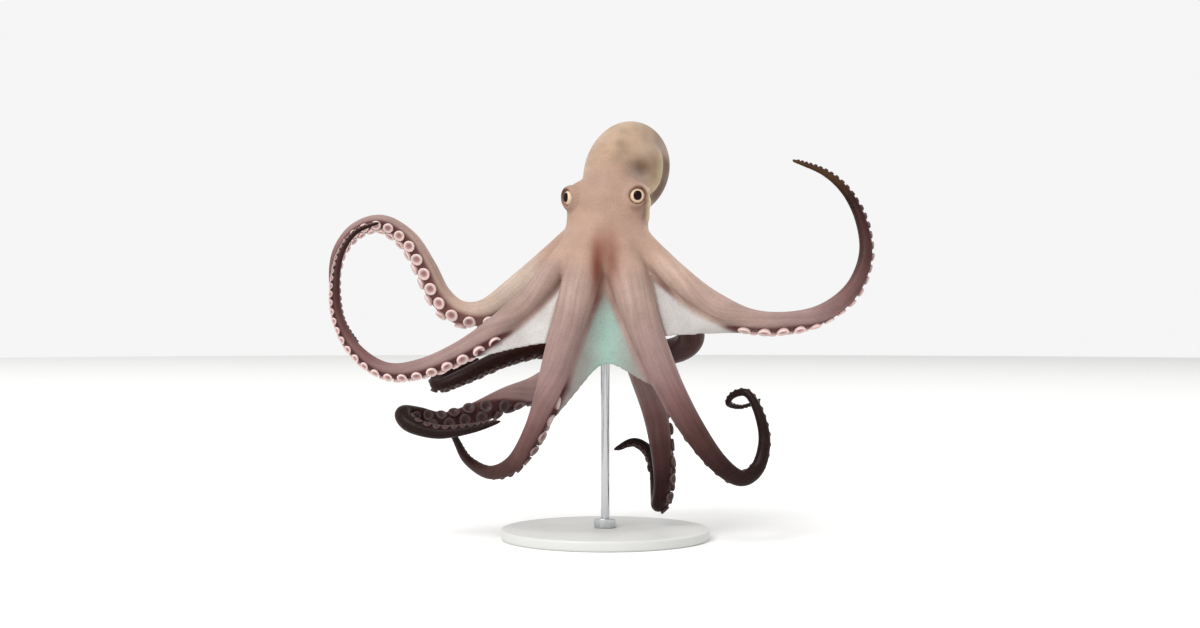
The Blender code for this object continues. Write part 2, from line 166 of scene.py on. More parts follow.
def noise(
    tree: bpy.types.NodeTree, place: bpy.types.NodeSocket, scale: float, detail: float
) -> bpy.types.NodeSocket:
    """Adds cloudy noise.

    Args:
        tree: the node tree to add to.
        place: the place to take it at.
        scale: how many grains lie along a metre.
        detail: how many finer layers it has.

    Returns:
        The noise, for the most part between 0.3 and 0.7.
    """
    inputs = {"Vector": place, "Scale": scale, "Detail": detail}
    return add_node(tree, "ShaderNodeTexNoise", None, inputs).outputs[0]


def spread(
    tree: bpy.types.NodeTree,
    value: bpy.types.NodeSocket,
    low: float,
    high: float,
    first: float = 0.0,
    last: float = 1.0,
    soft: bool = False,
) -> bpy.types.NodeSocket:
    """Spreads one range of a value over another and holds it between its ends.

    Args:
        tree: the node tree to add to.
        value: the value to map.
        low: where the range starts.
        high: where it ends.
        first: what low becomes.
        last: what high becomes.
        soft: whether the ends are eased.

    Returns:
        The mapped value.
    """
    settings = {"interpolation_type": "SMOOTHSTEP"} if soft else None
    inputs = {0: value, 1: low, 2: high, 3: first, 4: last}
    return add_node(tree, "ShaderNodeMapRange", settings, inputs).outputs[0]


def mixed(
    tree: bpy.types.NodeTree, share: object, first: object, second: object, blend: str = "MIX"
) -> bpy.types.NodeSocket:
    """Mixes two colours.

    Args:
        tree: the node tree to add to.
        share: how much of the second one there is, from 0 to 1.
        first: the first colour.
        second: the second one.
        blend: the way of mixing, such as "MULTIPLY".

    Returns:
        The mixed colour.
    """
    settings = {"data_type": "RGBA", "blend_type": blend}
    return add_node(tree, "ShaderNodeMix", settings, {0: share, 6: first, 7: second}).outputs[2]


def bumped(
    tree: bpy.types.NodeTree, height: bpy.types.NodeSocket, strength: float, depth: float
) -> bpy.types.NodeSocket:
    """Adds fine relief.

    Args:
        tree: the node tree to add to.
        height: the relief's height, 0 to 1.
        strength: how much of it shows.
        depth: its depth in metres.

    Returns:
        The normal for the shader.
    """
    inputs = {"Strength": strength, "Distance": depth, "Height": height}
    return add_node(tree, "ShaderNodeBump", None, inputs).outputs[0]


def surfaced(tree: bpy.types.NodeTree, inputs: dict[int | str, object]) -> None:
    """Ends a material's tree with its shader.

    Args:
        tree: the node tree to add to.
        inputs: the shader's values, or sockets to link from.
    """
    shader = add_node(tree, "ShaderNodeBsdfPrincipled", None, inputs)
    add_node(tree, "ShaderNodeOutputMaterial", None, {0: shader.outputs[0]})


def unit(vectors: Array) -> Array:
    """Brings vectors to length one.

    Args:
        vectors: one of them, or one to a row.

    Returns:
        The same directions at length one.
    """
    return vectors / np.maximum(np.linalg.norm(vectors, axis=-1, keepdims=True), 1e-12)


def ease(values: Array, low: float, high: float) -> Array:
    """Makes a smooth step.

    Args:
        values: the values to map.
        low: where the step starts.
        high: where it ends.

    Returns:
        Shares, from 0 at low to 1 at high.
    """
    t = np.clip((values - low) / (high - low), 0, 1)
    return t * t * (3 - 2 * t)


def smooth_line(points: Array, step: float) -> Array:
    """Lays a Catmull-Rom curve through points.

    Args:
        points: the points to pass through, one to a row.
        step: the distance between the rows that come back.

    Returns:
        Evenly spaced points along the curve, both ends included.
    """
    ends = np.vstack([2 * points[0] - points[1], points, 2 * points[-1] - points[-2]])
    share = np.linspace(0, 1, 24, endpoint=False)[:, None]
    found = [
        0.5
        * (
            2 * b
            + (c - a) * share
            + (2 * a - 5 * b + 4 * c - d) * share**2
            + (3 * b - a - 3 * c + d) * share**3
        )
        for a, b, c, d in zip(ends, ends[1:], ends[2:], ends[3:])
    ]
    dense = np.vstack([*found, points[-1:]])
    run = np.concatenate([[0], np.cumsum(np.linalg.norm(np.diff(dense, axis=0), axis=1))])
    at = np.linspace(0, run[-1], max(2, int(run[-1] / step) + 1))
    return np.stack([np.interp(at, run, column) for column in dense.T], axis=1)


def skinned(rings: list[Array]) -> Piece:
    """Joins rings into a closed tube with flat ends.

    Args:
        rings: the rings in order, each of the same count of points.

    Returns:
        The tube.
    """
    count = len(rings[0])
    faces: list[tuple[int, ...]] = []
    for k in range(len(rings) - 1):
        for i in range(count):
            a, b = k * count + i, k * count + (i + 1) % count
            faces.append((a, b, b + count, a + count))
    last = (len(rings) - 1) * count
    faces.append(tuple(range(count))[::-1])
    faces.append(tuple(range(last, last + count)))
    return np.vstack(rings), faces


def circle(sides: int) -> Array:
    """Lays a flat circle of radius one about Z.

    Args:
        sides: how many points it has.

    Returns:
        The points, one to a row.
    """
    turn = np.arange(sides) * 2 * math.pi / sides
    return np.stack([np.cos(turn), np.sin(turn), np.zeros(sides)], axis=1)


def turned(profile: list[tuple[float, float]], centre: Array, sides: int) -> Piece:
    """Turns a profile round an upright axis.

    Args:
        profile: its (radius, height) pairs.
        centre: a point of the axis, at height 0.
        sides: how many sides the shape has.

    Returns:
        The closed shape.
    """
    lift = np.array([0.0, 0.0, 1.0])
    return skinned([centre + circle(sides) * r + lift * z for r, z in profile])


def ellipsoid(centre: Array, radii: Array, sides: int = 40) -> Piece:
    """Makes an ellipsoid with its poles along Z.

    Args:
        centre: its middle.
        radii: its three radii.
        sides: how many sides it has round Z.

    Returns:
        The closed shape.
    """
    tilts = np.linspace(-POLE_GAP, POLE_GAP, sides // 2 + 1) * math.pi
    flat = circle(sides)
    return skinned([centre + (flat * math.cos(t) + [0, 0, math.sin(t)]) * radii for t in tilts])


def faced_out(piece: Piece) -> Piece:
    """Turns a closed shape's faces to face out.

    Args:
        piece: the shape.

    Returns:
        The same shape, with every face turned over if its volume was negative.
    """
    points, faces = piece
    volume = 0.0
    for face in faces:
        for b, c in zip(face[1:], face[2:]):
            volume += float(points[face[0]] @ np.cross(points[b], points[c]))
    return points, faces if volume > 0 else [face[::-1] for face in faces]


def joined(pieces: list[Piece]) -> Piece:
    """Puts several shapes into one list of points and faces.

    Args:
        pieces: the shapes.

    Returns:
        All of them as one.
    """
    points, faces, start = [], [], 0
    for piece_points, piece_faces in pieces:
        points.append(piece_points)
        faces += [tuple(i + start for i in face) for face in piece_faces]
        start += len(piece_points)
    return np.vstack(points), faces


def new_object(name: str, piece: Piece) -> bpy.types.Object:
    """Makes a mesh object at the origin from points in metres.

    Args:
        name: the piece's name.
        piece: its points and faces.

    Returns:
        The new object, linked to the scene.
    """
    mesh = bpy.data.meshes.new(name)
    mesh.from_pydata(piece[0].tolist(), [], piece[1])
    mesh.update()
    mesh.shade_smooth()
    made = bpy.data.objects.new(name, mesh)
    bpy.context.scene.collection.objects.link(made)
    return made


def settled(piece: bpy.types.Object) -> bpy.types.Object:
    """Turns the result of an object's modifiers into its own plain mesh.

    Args:
        piece: the object.

    Returns:
        The same object, without modifiers.
    """
    graph = bpy.context.evaluated_depsgraph_get()
    mesh = bpy.data.meshes.new_from_object(piece.evaluated_get(graph))
    piece.modifiers.clear()
    old = piece.data
    piece.data = mesh
    bpy.data.meshes.remove(old)
    return piece


def points_of(mesh: bpy.types.Mesh) -> Array:
    """Reads a mesh's points.

    Args:
        mesh: the mesh.

    Returns:
        The points, one to a row.
    """
    found = np.empty(len(mesh.vertices) * 3, np.float32)
    mesh.vertices.foreach_get("co", found)
    return found.reshape(-1, 3).astype(float)


def set_points(mesh: bpy.types.Mesh, points: Array) -> None:
    """Moves a mesh's points.

    Args:
        mesh: the mesh.
        points: the new places, one to a row.
    """
    mesh.vertices.foreach_set("co", points.astype(np.float32).ravel())
    mesh.update()


def record_on(mesh: bpy.types.Mesh, name: str, values: Array) -> None:
    """Stores a number or a vector for each point, for the material to read.

    Args:
        mesh: the mesh.
        name: the record's name.
        values: a number, or a row of three, for each point.
    """
    vector = values.ndim == 2
    layer = mesh.attributes.new(name, "FLOAT_VECTOR" if vector else "FLOAT", "POINT")
    layer.data.foreach_set("vector" if vector else "value", values.astype(np.float32).ravel())


def dress(piece: bpy.types.Object, finish: bpy.types.Material) -> None:
    """Gives a piece its material and the body that it rides on.

    Args:
        piece: the piece.
        finish: its material.
    """
    piece.data.materials.clear()
    piece.data.materials.append(finish)
    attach(piece, BODY)


# ---------------------------------------------------------------- arms


class SuckerSide(Enum):
    """Which side of an arm's bend its suckers are on, seen from the front."""

    LEFT_OF_TRAVEL = 1
    RIGHT_OF_TRAVEL = -1


@dataclass
class ArmRoute:
    """Where one arm runs, how thick it is and which way its suckers face.

    The waypoints run from the crown to the tip, in millimetres. `roll` turns the suckers
    towards the front, in degrees, at shares of the arm's length. `dusk` is how far into the
    dark part of its colours the arm starts, a larger `fade` keeps it pale for longer, and
    `dark_at` is the share of its length where it is at its darkest. These hold the skin's own
    darkening towards the tip and, on the arms that lie behind or under others, painted shade.
    `cup_dusk` makes its suckers darker than the skin about them, painted shade where the arm
    lies in shadow.
    """

    name: str
    base: float
    tip: float
    power: float
    side: SuckerSide
    roll: tuple[tuple[float, float], ...]
    way: tuple[tuple[float, float, float], ...]
    dusk: float = 0.07
    fade: float = 1.0
    dark_at: float = 1.0
    cup_dusk: float = 0.0
    step: float = 2.0
    follow: float = 0.15
    path: Array = field(init=False)
    at: Array = field(init=False)
    radius: Array = field(init=False)
    along: Array = field(init=False)
    oral: Array = field(init=False)
    across: Array = field(init=False)

    def __post_init__(self) -> None:
        """Works out the centreline and the frame that travels along it."""
        path = smooth_line(np.array(self.way, float), self.step)
        at = np.concatenate([[0], np.cumsum(np.linalg.norm(np.diff(path, axis=0), axis=1))])
        share = at / at[-1]
        along = unit(np.gradient(path, axis=0))
        turn = np.radians(np.interp(share, *zip(*self.roll)))[:, None]
        bend = self.side.value * np.cross(along, -FORWARD)
        inward = unit(np.array([0, 6.0, 0]) - path * [1, 1, 0]) - [0, 0, 0.8]
        blend = np.clip((at - 40) / 70, 0, 1)[:, None]
        wanted = (1 - blend) * inward + blend * (bend * np.cos(turn) + FORWARD * np.sin(turn))
        wanted -= (wanted * along).sum(1, keepdims=True) * along
        oral = unit(wanted)
        for i in range(1, len(wanted)):
            held = oral[i - 1] + self.follow * wanted[i]
            oral[i] = unit(held - held @ along[i] * along[i])
        self.path, self.at = path * MM, at * MM
        self.radius = (self.tip + (self.base - self.tip) * (1 - share) ** self.power) * MM
        self.along, self.oral, self.across = along, oral, np.cross(along, oral)

    @property
    def age(self) -> Array:
        """How far each station is along the arm's colours, from pale at 0 to dark at 1."""
        share = np.minimum(self.at / self.length / self.dark_at, 1)
        return self.dusk + (1 - self.dusk) * share**self.fade

    @property
    def length(self) -> float:
        """The arm's length from the crown to the tip."""
        return float(self.at[-1])

    def spot(self, run: float) -> tuple[Array, Array, Array, Array, float]:
        """Finds the arm's place and frame at a distance from the crown.

        Args:
            run: the distance along the arm.

        Returns:
            The centre, the ways along, oral and across, and the radius.
        """
        place = float(np.interp(run, self.at, np.arange(len(self.at))))
        i = min(int(place), len(self.at) - 2)
        far = place - i
        centre = self.path[i] * (1 - far) + self.path[i + 1] * far
        axes = (
            unit(axis[i] * (1 - far) + axis[i + 1] * far)
            for axis in (self.along, self.oral, self.across)
        )
        radius = self.radius[i] * (1 - far) + self.radius[i + 1] * far
        return centre, *axes, float(radius)

    def tube(self, sides: int = 32) -> Piece:
        """Lays out the whole arm, flatter on its sucker side, with a rounded tip.

        Args:
            sides: how many sides it has.

        Returns:
            The closed shape.
        """
        turn = np.arange(sides) * 2 * math.pi / sides
        up = np.sin(turn)
        tall = np.where(up > 0, 0.84, 0.98)
        rings = []
        for i, centre in enumerate(self.path):
            swell = 1 + 0.02 * math.sin(self.at[i] / (31 * MM)) * min(1, self.at[i] / (80 * MM))
            r = self.radius[i] * swell
            rings.append(
                centre
                + np.outer(1.04 * r * np.cos(turn), self.across[i])
                + np.outer(tall * r * up, self.oral[i])
            )
        end, way, r = self.path[-1], self.along[-1], self.radius[-1]
        for push, share in ((0.5, 0.85), (0.85, 0.5)):
            rings.append(end + way * r * push + (rings[-1] - rings[-1].mean(0)) * share)
        return skinned(rings)


LEFT, RIGHT = SuckerSide.LEFT_OF_TRAVEL, SuckerSide.RIGHT_OF_TRAVEL
ARMS = (
    ArmRoute(
        "arm_R1", 23.5, 1.8, 1.1, LEFT,
        ((0.2, -88), (0.34, -80), (0.42, -12), (0.52, 0), (0.62, -70), (1, -80)),
        ((-15, -22, 336), (-25, -50, 302), (-37, -70, 260), (-50, -84, 218), (-63, -90, 172),
         (-79, -84, 128), (-102, -63, 92), (-130, -35, 79), (-158, 0, 90), (-174, 30, 111),
         (-187, 52, 131), (-201, 68, 141)),
        cup_dusk=0.12,
    ),
    ArmRoute(
        "arm_L1", 24.0, 1.8, 1.15, RIGHT, ((0.2, -88), (0.5, -80), (0.75, -70), (1, -50)),
        ((13, -22, 336), (25, -50, 298), (39, -70, 254), (55, -84, 213), (73, -90, 172),
         (97, -87, 130), (125, -75, 93), (151, -61, 75), (171, -50, 86), (179, -43, 116),
         (173, -38, 147), (161, -30, 168), (146, -20, 166), (141, -8, 155), (158, 4, 151),
         (179, 11, 159)),
        fade=1.3, dark_at=0.68, cup_dusk=0.1,
    ),
    ArmRoute(
        "arm_R2", 17.5, 1.8, 0.88, LEFT, ((0.1, -80), (0.21, -75), (0.29, 5), (0.4, 15), (1, 10)),
        ((-29, -12, 345), (-52, -27, 313), (-79, -41, 279), (-118, -53, 246), (-162, -58, 216),
         (-208, -53, 197), (-248, -43, 195), (-283, -33, 218), (-303, -25, 253),
         (-308, -17, 291), (-303, -8, 327), (-287, 0, 352), (-262, 4, 363)),
        dusk=0.18, fade=1.45, dark_at=1.15, cup_dusk=-0.1,
    ),
    ArmRoute(
        "arm_L2", 18.0, 1.8, 0.8, RIGHT,
        ((0.1, -80), (0.25, -75), (0.32, 0), (0.42, 5), (0.5, -30), (1, -35)),
        ((33, -12, 347), (56, -27, 321), (84, -41, 295), (118, -51, 270), (162, -56, 251),
         (207, -50, 249), (248, -40, 260), (281, -28, 287), (297, -16, 325), (294, -6, 363),
         (279, 4, 397), (254, 10, 421), (218, 15, 436)),
        dusk=0.0, fade=1.25, dark_at=0.98,
    ),
    ArmRoute(
        "arm_R3", 20.5, 1.8, 0.8, LEFT, ((0.15, -30), (0.32, 40), (0.62, 45), (1, 20)),
        ((-34, 16, 344), (-62, 28, 318), (-100, 38, 288), (-139, 46, 261), (-171, 50, 259),
         (-195, 50, 279), (-211, 46, 312), (-231, 40, 345), (-261, 34, 364), (-292, 30, 355),
         (-312, 28, 326), (-315, 26, 286), (-306, 22, 249), (-287, 18, 223)),
        dusk=0.0, fade=2.1, dark_at=1.1,
    ),
    ArmRoute(
        "arm_L3", 18.5, 1.8, 0.5, LEFT, ((0.15, -60), (0.4, -60), (0.55, -20), (1, 0)),
        ((36, 16, 344), (64, 42, 312), (88, 70, 270), (104, 102, 230), (80, 135, 212),
         (31, 150, 214), (-25, 151, 219), (-80, 141, 217), (-128, 127, 203), (-173, 117, 182),
         (-203, 120, 171), (-205, 138, 181), (-185, 151, 190), (-157, 159, 202)),
        dusk=0.4, fade=0.45, dark_at=1.5, cup_dusk=0.2,
    ),
    ArmRoute(
        "arm_R4", 20.0, 1.6, 0.6, LEFT,
        ((0.2, -80), (0.36, -70), (0.5, 60), (0.56, 120), (0.64, 110), (0.75, 0), (1, 0)),
        ((-15, 34, 336), (-20, 62, 294), (-24, 74, 246), (-41, 71, 199), (-77, 55, 172),
         (-114, 38, 159), (-151, 22, 142), (-187, 10, 133), (-216, 1, 141), (-231, -12, 144),
         (-221, -26, 132), (-189, -34, 124), (-153, -38, 128), (-119, -40, 137)),
        dusk=0.2, fade=2.6, dark_at=0.78, cup_dusk=0.35,
    ),
    ArmRoute(
        "arm_L4", 20.5, 1.6, 0.6, LEFT, ((0.2, -60), (0.5, -50), (0.62, 0), (0.75, 20), (1, 10)),
        ((13, 34, 336), (21, 60, 288), (29, 58, 233), (44, 40, 188), (58, 20, 144),
         (65, 4, 103), (67, -1, 64), (63, 10, 40), (62, 30, 46), (60, 43, 73), (52, 50, 96),
         (34, 54, 107), (11, 52, 98)),
        dusk=0.12, fade=1.9, dark_at=0.75, cup_dusk=0.25,
    ),
)
ARM = {arm.name: arm for arm in ARMS}


# ---------------------------------------------------------------- finishes


@dataclass(frozen=True)
class MoistSkin:
    """Living cephalopod skin, cast in soft silicone: satin, moist, finely grained.

    The back of an arm goes from pinkish tan at the crown to dark umber at the tip, its sucker
    side is maroon and partly painted shade, the webs are pale and thin. Fine specks are the
    colour cells. Painted shade lies in the grooves, the dent, the mantle's far side, round the
    eyes and in the crease between the front arms; the fold crests carry a painted highlight,
    the front web partly painted shade and its middle a painted glow of light through it.
    """

    arm_back: tuple[tuple[float, str], ...] = (
        (0.0, "#BBA99B"), (0.1, "#AE9486"), (0.22, "#A0887F"), (0.4, "#8D7370"),
        (0.52, "#6D4F4D"), (0.64, "#472D2A"), (0.8, "#260F0D"), (1.0, "#1A0D0B"),
    )
    # the sucker side's own maroon, made darker by painted shade
    arm_under: tuple[tuple[float, str], ...] = (
        (0.0, "#85605A"), (0.12, "#6B4543"), (0.35, "#522D2E"), (0.6, "#3A1B1C"), (1.0, "#221011"),
    )
    web: str = "#BEBAB7"
    # the front web's own greyer colour, darkened further by painted shade
    web_front: str = "#908883"
    # painted glow: teal light showing through the thin middle of the front web
    web_painted_glow: str = "#8FA99F"
    head: str = "#A78A7A"
    mantle: str = "#AC917A"
    mantle_dark: str = "#98806A"
    # painted shade in the crease between the front arms and the web at the crown
    streak: str = "#743F31"
    # painted shade: the grooves beside the folds, the dent and the mantle's shaded far side
    dim: str = "#54391F"
    # painted highlight on the crests of the folds
    pale: str = "#D8C6A2"
    # painted shade in the crease round each lid and below the eye
    lid: str = "#5F3422"
    speck: str = "#5A3B30"
    blotch_mm: float = 26.0
    speck_mm: float = 1.5
    grain_mm: float = 0.9
    fold_mm: float = 6.0
    underside: tuple[float, float] = (0.2, 0.62)  # how far round an arm its back turns to the maroon of the sucker side, partly painted shade
    patch: tuple[float, float] = (0.36, 0.72)  # of the blotch noise, from pale to dark mantle
    speck_edge: tuple[float, float] = (0.12, 0.42)  # of the cell noise, from a dot to none
    speck_depth: float = 0.34
    fold_over_grain: float = 2.2

    def material(self) -> bpy.types.Material:
        """Builds the material.

        Returns:
            A Principled material that reads the skin's recorded values.
        """
        made, tree = new_tree("moist_octopus_skin")
        place = add_node(tree, "ShaderNodeTexCoord").outputs["Object"]
        drawn_out = add_node(tree, "ShaderNodeMapping", None, {0: place, 3: (1.0, 0.3, 1.0)})
        blotch = noise(tree, drawn_out.outputs[0], 1 / (self.blotch_mm * MM), 2.0)
        arm, top = self.arm_colour(tree), self.top_colour(tree, blotch)
        skin = mixed(tree, share_of(tree, "head"), arm, top)
        # lays the painted shade (creases, grooves, dent, round the eyes) and the painted highlight
        # on the fold crests over the skin
        for name in ("streak", "dim", "pale", "lid"):
            skin = mixed(tree, share_of(tree, name), skin, linear(getattr(self, name)))
        skin = mixed(tree, 1.0, skin, spread(tree, blotch, *NOISE_SPAN, 1.08, 0.9), "MULTIPLY")
        surfaced(
            tree,
            {
                "Base Color": self.specked(tree, place, skin),
                "Roughness": spread(tree, blotch, *NOISE_SPAN, 0.38, 0.5),
                "Normal": self.relief(tree, place),
                "IOR": 1.4, "Specular IOR Level": 0.13, "Subsurface Weight": 0.1,
                "Subsurface Scale": 4 * MM, "Coat Weight": 0.04, "Coat Roughness": 0.2,
            },
        )
        return made

    def arm_colour(self, tree: bpy.types.NodeTree) -> bpy.types.NodeSocket:
        """Colours the arms and, between them, the webs.

        Args:
            tree: the material's node tree.

        Returns:
            The colour, with long fibres under the skin drawn out along each arm.
        """
        run = share_of(tree, "run")
        back = add_node(tree, "ShaderNodeValToRGB", None, {0: run}, self.arm_back)
        under = add_node(tree, "ShaderNodeValToRGB", None, {0: run}, self.arm_under)
        # the sucker side's maroon, partly painted shade
        below = spread(tree, share_of(tree, "oral"), *self.underside, soft=True)
        arm = mixed(tree, below, back.outputs[0], under.outputs[0])
        flow = recorded(tree, "flow").outputs["Vector"]
        fibre_scale = add_node(tree, "ShaderNodeMapping", None, {0: flow, 3: (14.0, 190.0, 1.0)})
        fibre = add_node(
            tree, "ShaderNodeTexNoise", {"noise_dimensions": "2D"},
            {"Vector": fibre_scale.outputs[0], "Scale": 1.0, "Detail": 3.0, "Roughness": 0.6},
        )
        light = spread(tree, fibre.outputs[0], *NOISE_SPAN, 0.88, 1.1)
        arm = mixed(tree, 1.0, arm, light, "MULTIPLY")
        # the front web's greyer colour, partly painted shade
        web = mixed(tree, share_of(tree, "front"), linear(self.web), linear(self.web_front))
        # painted glow of light through the middle of the front web
        web = mixed(tree, share_of(tree, "deep"), web, linear(self.web_painted_glow))
        return mixed(tree, share_of(tree, "web"), arm, web)

    def top_colour(
        self, tree: bpy.types.NodeTree, blotch: bpy.types.NodeSocket
    ) -> bpy.types.NodeSocket:
        """Colours the head and, above it, the mantle with its darker patches.

        Args:
            tree: the material's node tree.
            blotch: the noise that sets the patches out.

        Returns:
            The colour.
        """
        patch = spread(tree, blotch, *self.patch, soft=True)
        mantle = mixed(tree, patch, linear(self.mantle), linear(self.mantle_dark))
        return mixed(tree, share_of(tree, "mantle"), linear(self.head), mantle)

    def specked(
        self, tree: bpy.types.NodeTree, place: bpy.types.NodeSocket, skin: bpy.types.NodeSocket
    ) -> bpy.types.NodeSocket:
        """Lays the colour cells, as fine dark specks, over the skin.

        Args:
            tree: the material's node tree.
            place: the place on the animal.
            skin: the skin's colour.

        Returns:
            The specked colour.
        """
        cells = add_node(
            tree, "ShaderNodeTexVoronoi", None,
            {"Vector": place, "Scale": 1 / (self.speck_mm * MM), "Randomness": 1.0},
        )
        dots = spread(tree, cells.outputs[0], *self.speck_edge, self.speck_depth, 0.0)
        return mixed(tree, dots, skin, linear(self.speck))

    def relief(
        self, tree: bpy.types.NodeTree, place: bpy.types.NodeSocket
    ) -> bpy.types.NodeSocket:
        """Raises the skin's fine folds and, on them, its grain.

        Args:
            tree: the material's node tree.
            place: the place on the animal.

        Returns:
            The normal for the shader.
        """
        folds = noise(tree, place, 1 / (self.fold_mm * MM), 3.0)
        grain = noise(tree, place, 1 / (self.grain_mm * MM), 2.0)
        height = add_node(
            tree, "ShaderNodeMath", {"operation": "MULTIPLY_ADD"},
            {0: folds, 1: self.fold_over_grain, 2: grain},
        )
        return bumped(tree, height.outputs[0], 0.35, 0.5 * MM)


@dataclass(frozen=True)
class SuckerSkin:
    """The suckers' smooth, pale lining, like wet silicone, with painted shade in the cup's hollow.
    """

    rim: str = "#DCC6C1"
    wall: str = "#B8918E"
    # painted shade in the hollow of the cup
    cup: str = "#94696A"
    # darker tone that follows the arm's darkening, partly painted shade
    dusk: str = "#2A1414"
    film: float = 420.0

    def material(self) -> bpy.types.Material:
        """Builds the material from the cup's height and the sucker's tone.

        Returns:
            The material.
        """
        made, tree = new_tree("sucker_lining")
        colour = add_node(
            tree, "ShaderNodeValToRGB", None, {0: share_of(tree, "rise")},
            ((0.0, self.cup), (0.35, self.wall), (0.8, self.rim), (1.0, self.rim)),
        )
        place = add_node(tree, "ShaderNodeTexCoord").outputs["Object"]
        toned = mixed(tree, share_of(tree, "tone"), colour.outputs[0], linear(self.dusk))
        surfaced(
            tree,
            {
                "Base Color": toned,
                "Normal": bumped(tree, noise(tree, place, self.film, 2.0), 0.2, 0.3 * MM),
                "Roughness": 0.34, "IOR": 1.4, "Specular IOR Level": 0.2,
                "Subsurface Weight": 0.15, "Subsurface Scale": 3 * MM, "Coat Weight": 0.06,
                "Coat Roughness": 0.15,
            },
        )
        return made


@dataclass(frozen=True)
class EyeGloss:
    """A wet eye: a dark, wide pupil in a cream and gold iris, under a clear, glossy cornea."""

    pupil: str = "#140604"
    gold: str = "#B98B52"
    cream: str = "#E2C9AE"
    edge: str = "#B08A66"
    pupil_wide: float = 4.9 * MM
    pupil_tall: float = 5.6 * MM
    pupil_power: float = 2.2  # 2 is an oval, more is squarer
    pupil_edge: tuple[float, float] = (0.8, 1.15)
    iris_from: float = 3.6 * MM
    iris: float = 8.8 * MM
    streak_scale: float = 1400.0

    def material(self) -> bpy.types.Material:
        """Builds the material from the place across and up the eye's front.

        Returns:
            The material.
        """
        made, tree = new_tree("wet_eye")
        front = recorded(tree, "front").outputs["Vector"]
        squeezed = add_node(
            tree, "ShaderNodeVectorMath", {"operation": "DIVIDE"},
            {0: front, 1: (self.pupil_wide, self.pupil_tall, 1.0)},
        )
        split = add_node(tree, "ShaderNodeSeparateXYZ", None, {0: squeezed.outputs[0]})
        across, up = (self.raised(tree, split.outputs[k]) for k in (0, 1))
        block = add_node(tree, "ShaderNodeMath", {"operation": "ADD"}, {0: across, 1: up})
        inside = spread(tree, block.outputs[0], *self.pupil_edge, soft=True)
        reach = add_node(tree, "ShaderNodeVectorMath", {"operation": "LENGTH"}, {0: front})
        ring = spread(tree, reach.outputs["Value"], self.iris_from, self.iris)
        iris = add_node(
            tree, "ShaderNodeValToRGB", None, {0: ring},
            ((0.0, self.gold), (0.22, self.cream), (0.8, self.cream), (1.0, self.edge)),
        )
        streaks = noise(tree, front, self.streak_scale, 3.0)
        shade = spread(tree, streaks, *NOISE_SPAN, 0.78, 1.08)
        lit = mixed(tree, 1.0, iris.outputs[0], shade, "MULTIPLY")
        surfaced(
            tree,
            {
                "Base Color": mixed(tree, inside, linear(self.pupil), lit), "Roughness": 0.2,
                "IOR": 1.38, "Specular IOR Level": 0.08, "Coat Weight": 0.12,
                "Coat Roughness": 0.03,
            },
        )
        return made

    def raised(
        self, tree: bpy.types.NodeTree, value: bpy.types.NodeSocket
    ) -> bpy.types.NodeSocket:
        """Raises a value's size to the pupil's power.

        Args:
            tree: the material's node tree.
            value: the value.

        Returns:
            The result, never below 0.
        """
        size = add_node(tree, "ShaderNodeMath", {"operation": "ABSOLUTE"}, {0: value})
        inputs = {0: size.outputs[0], 1: self.pupil_power}
        return add_node(tree, "ShaderNodeMath", {"operation": "POWER"}, inputs).outputs[0]


@dataclass(frozen=True)
class PowderCoat:
    """Steel under a pale grey powder coat, with the fine orange peel that baking leaves."""

    colour: str = "#C9C9C6"
    peel_mm: float = 1.4
    haze: float = 16.0

    def material(self) -> bpy.types.Material:
        """Builds the material.

        Returns:
            The material.
        """
        made, tree = new_tree("powder_coated_steel")
        place = add_node(tree, "ShaderNodeTexCoord").outputs["Object"]
        peel = noise(tree, place, 1 / (self.peel_mm * MM), 2.0)
        haze = noise(tree, place, self.haze, 3.0)
        surfaced(
            tree,
            {
                "Base Color": linear(self.colour),
                "Roughness": spread(tree, haze, *NOISE_SPAN, 0.42, 0.55),
                "Normal": bumped(tree, peel, 0.25, 0.1 * MM),
            },
        )
        return made


@dataclass(frozen=True)
class BrushedSteel:
    """Stainless steel drawn and brushed lengthways: fine upright lines, a broken gloss."""

    colour: str = "#C6C8CA"
    line_mm: float = 0.5
    line_ratio: float = 60.0  # how much longer than wide a line is

    def material(self) -> bpy.types.Material:
        """Builds the material.

        Returns:
            The material.
        """
        made, tree = new_tree("brushed_stainless_steel")
        place = add_node(tree, "ShaderNodeTexCoord").outputs["Object"]
        fine = 1 / (self.line_mm * MM)
        drawn = add_node(
            tree, "ShaderNodeMapping", None, {0: place, 3: (fine, fine, fine / self.line_ratio)}
        )
        lines = noise(tree, drawn.outputs[0], 1.0, 2.0)
        surfaced(
            tree,
            {
                "Base Color": linear(self.colour), "Metallic": 1.0,
                "Roughness": spread(tree, lines, *NOISE_SPAN, 0.22, 0.4),
            },
        )
        return made


# ---------------------------------------------------------------- eyes


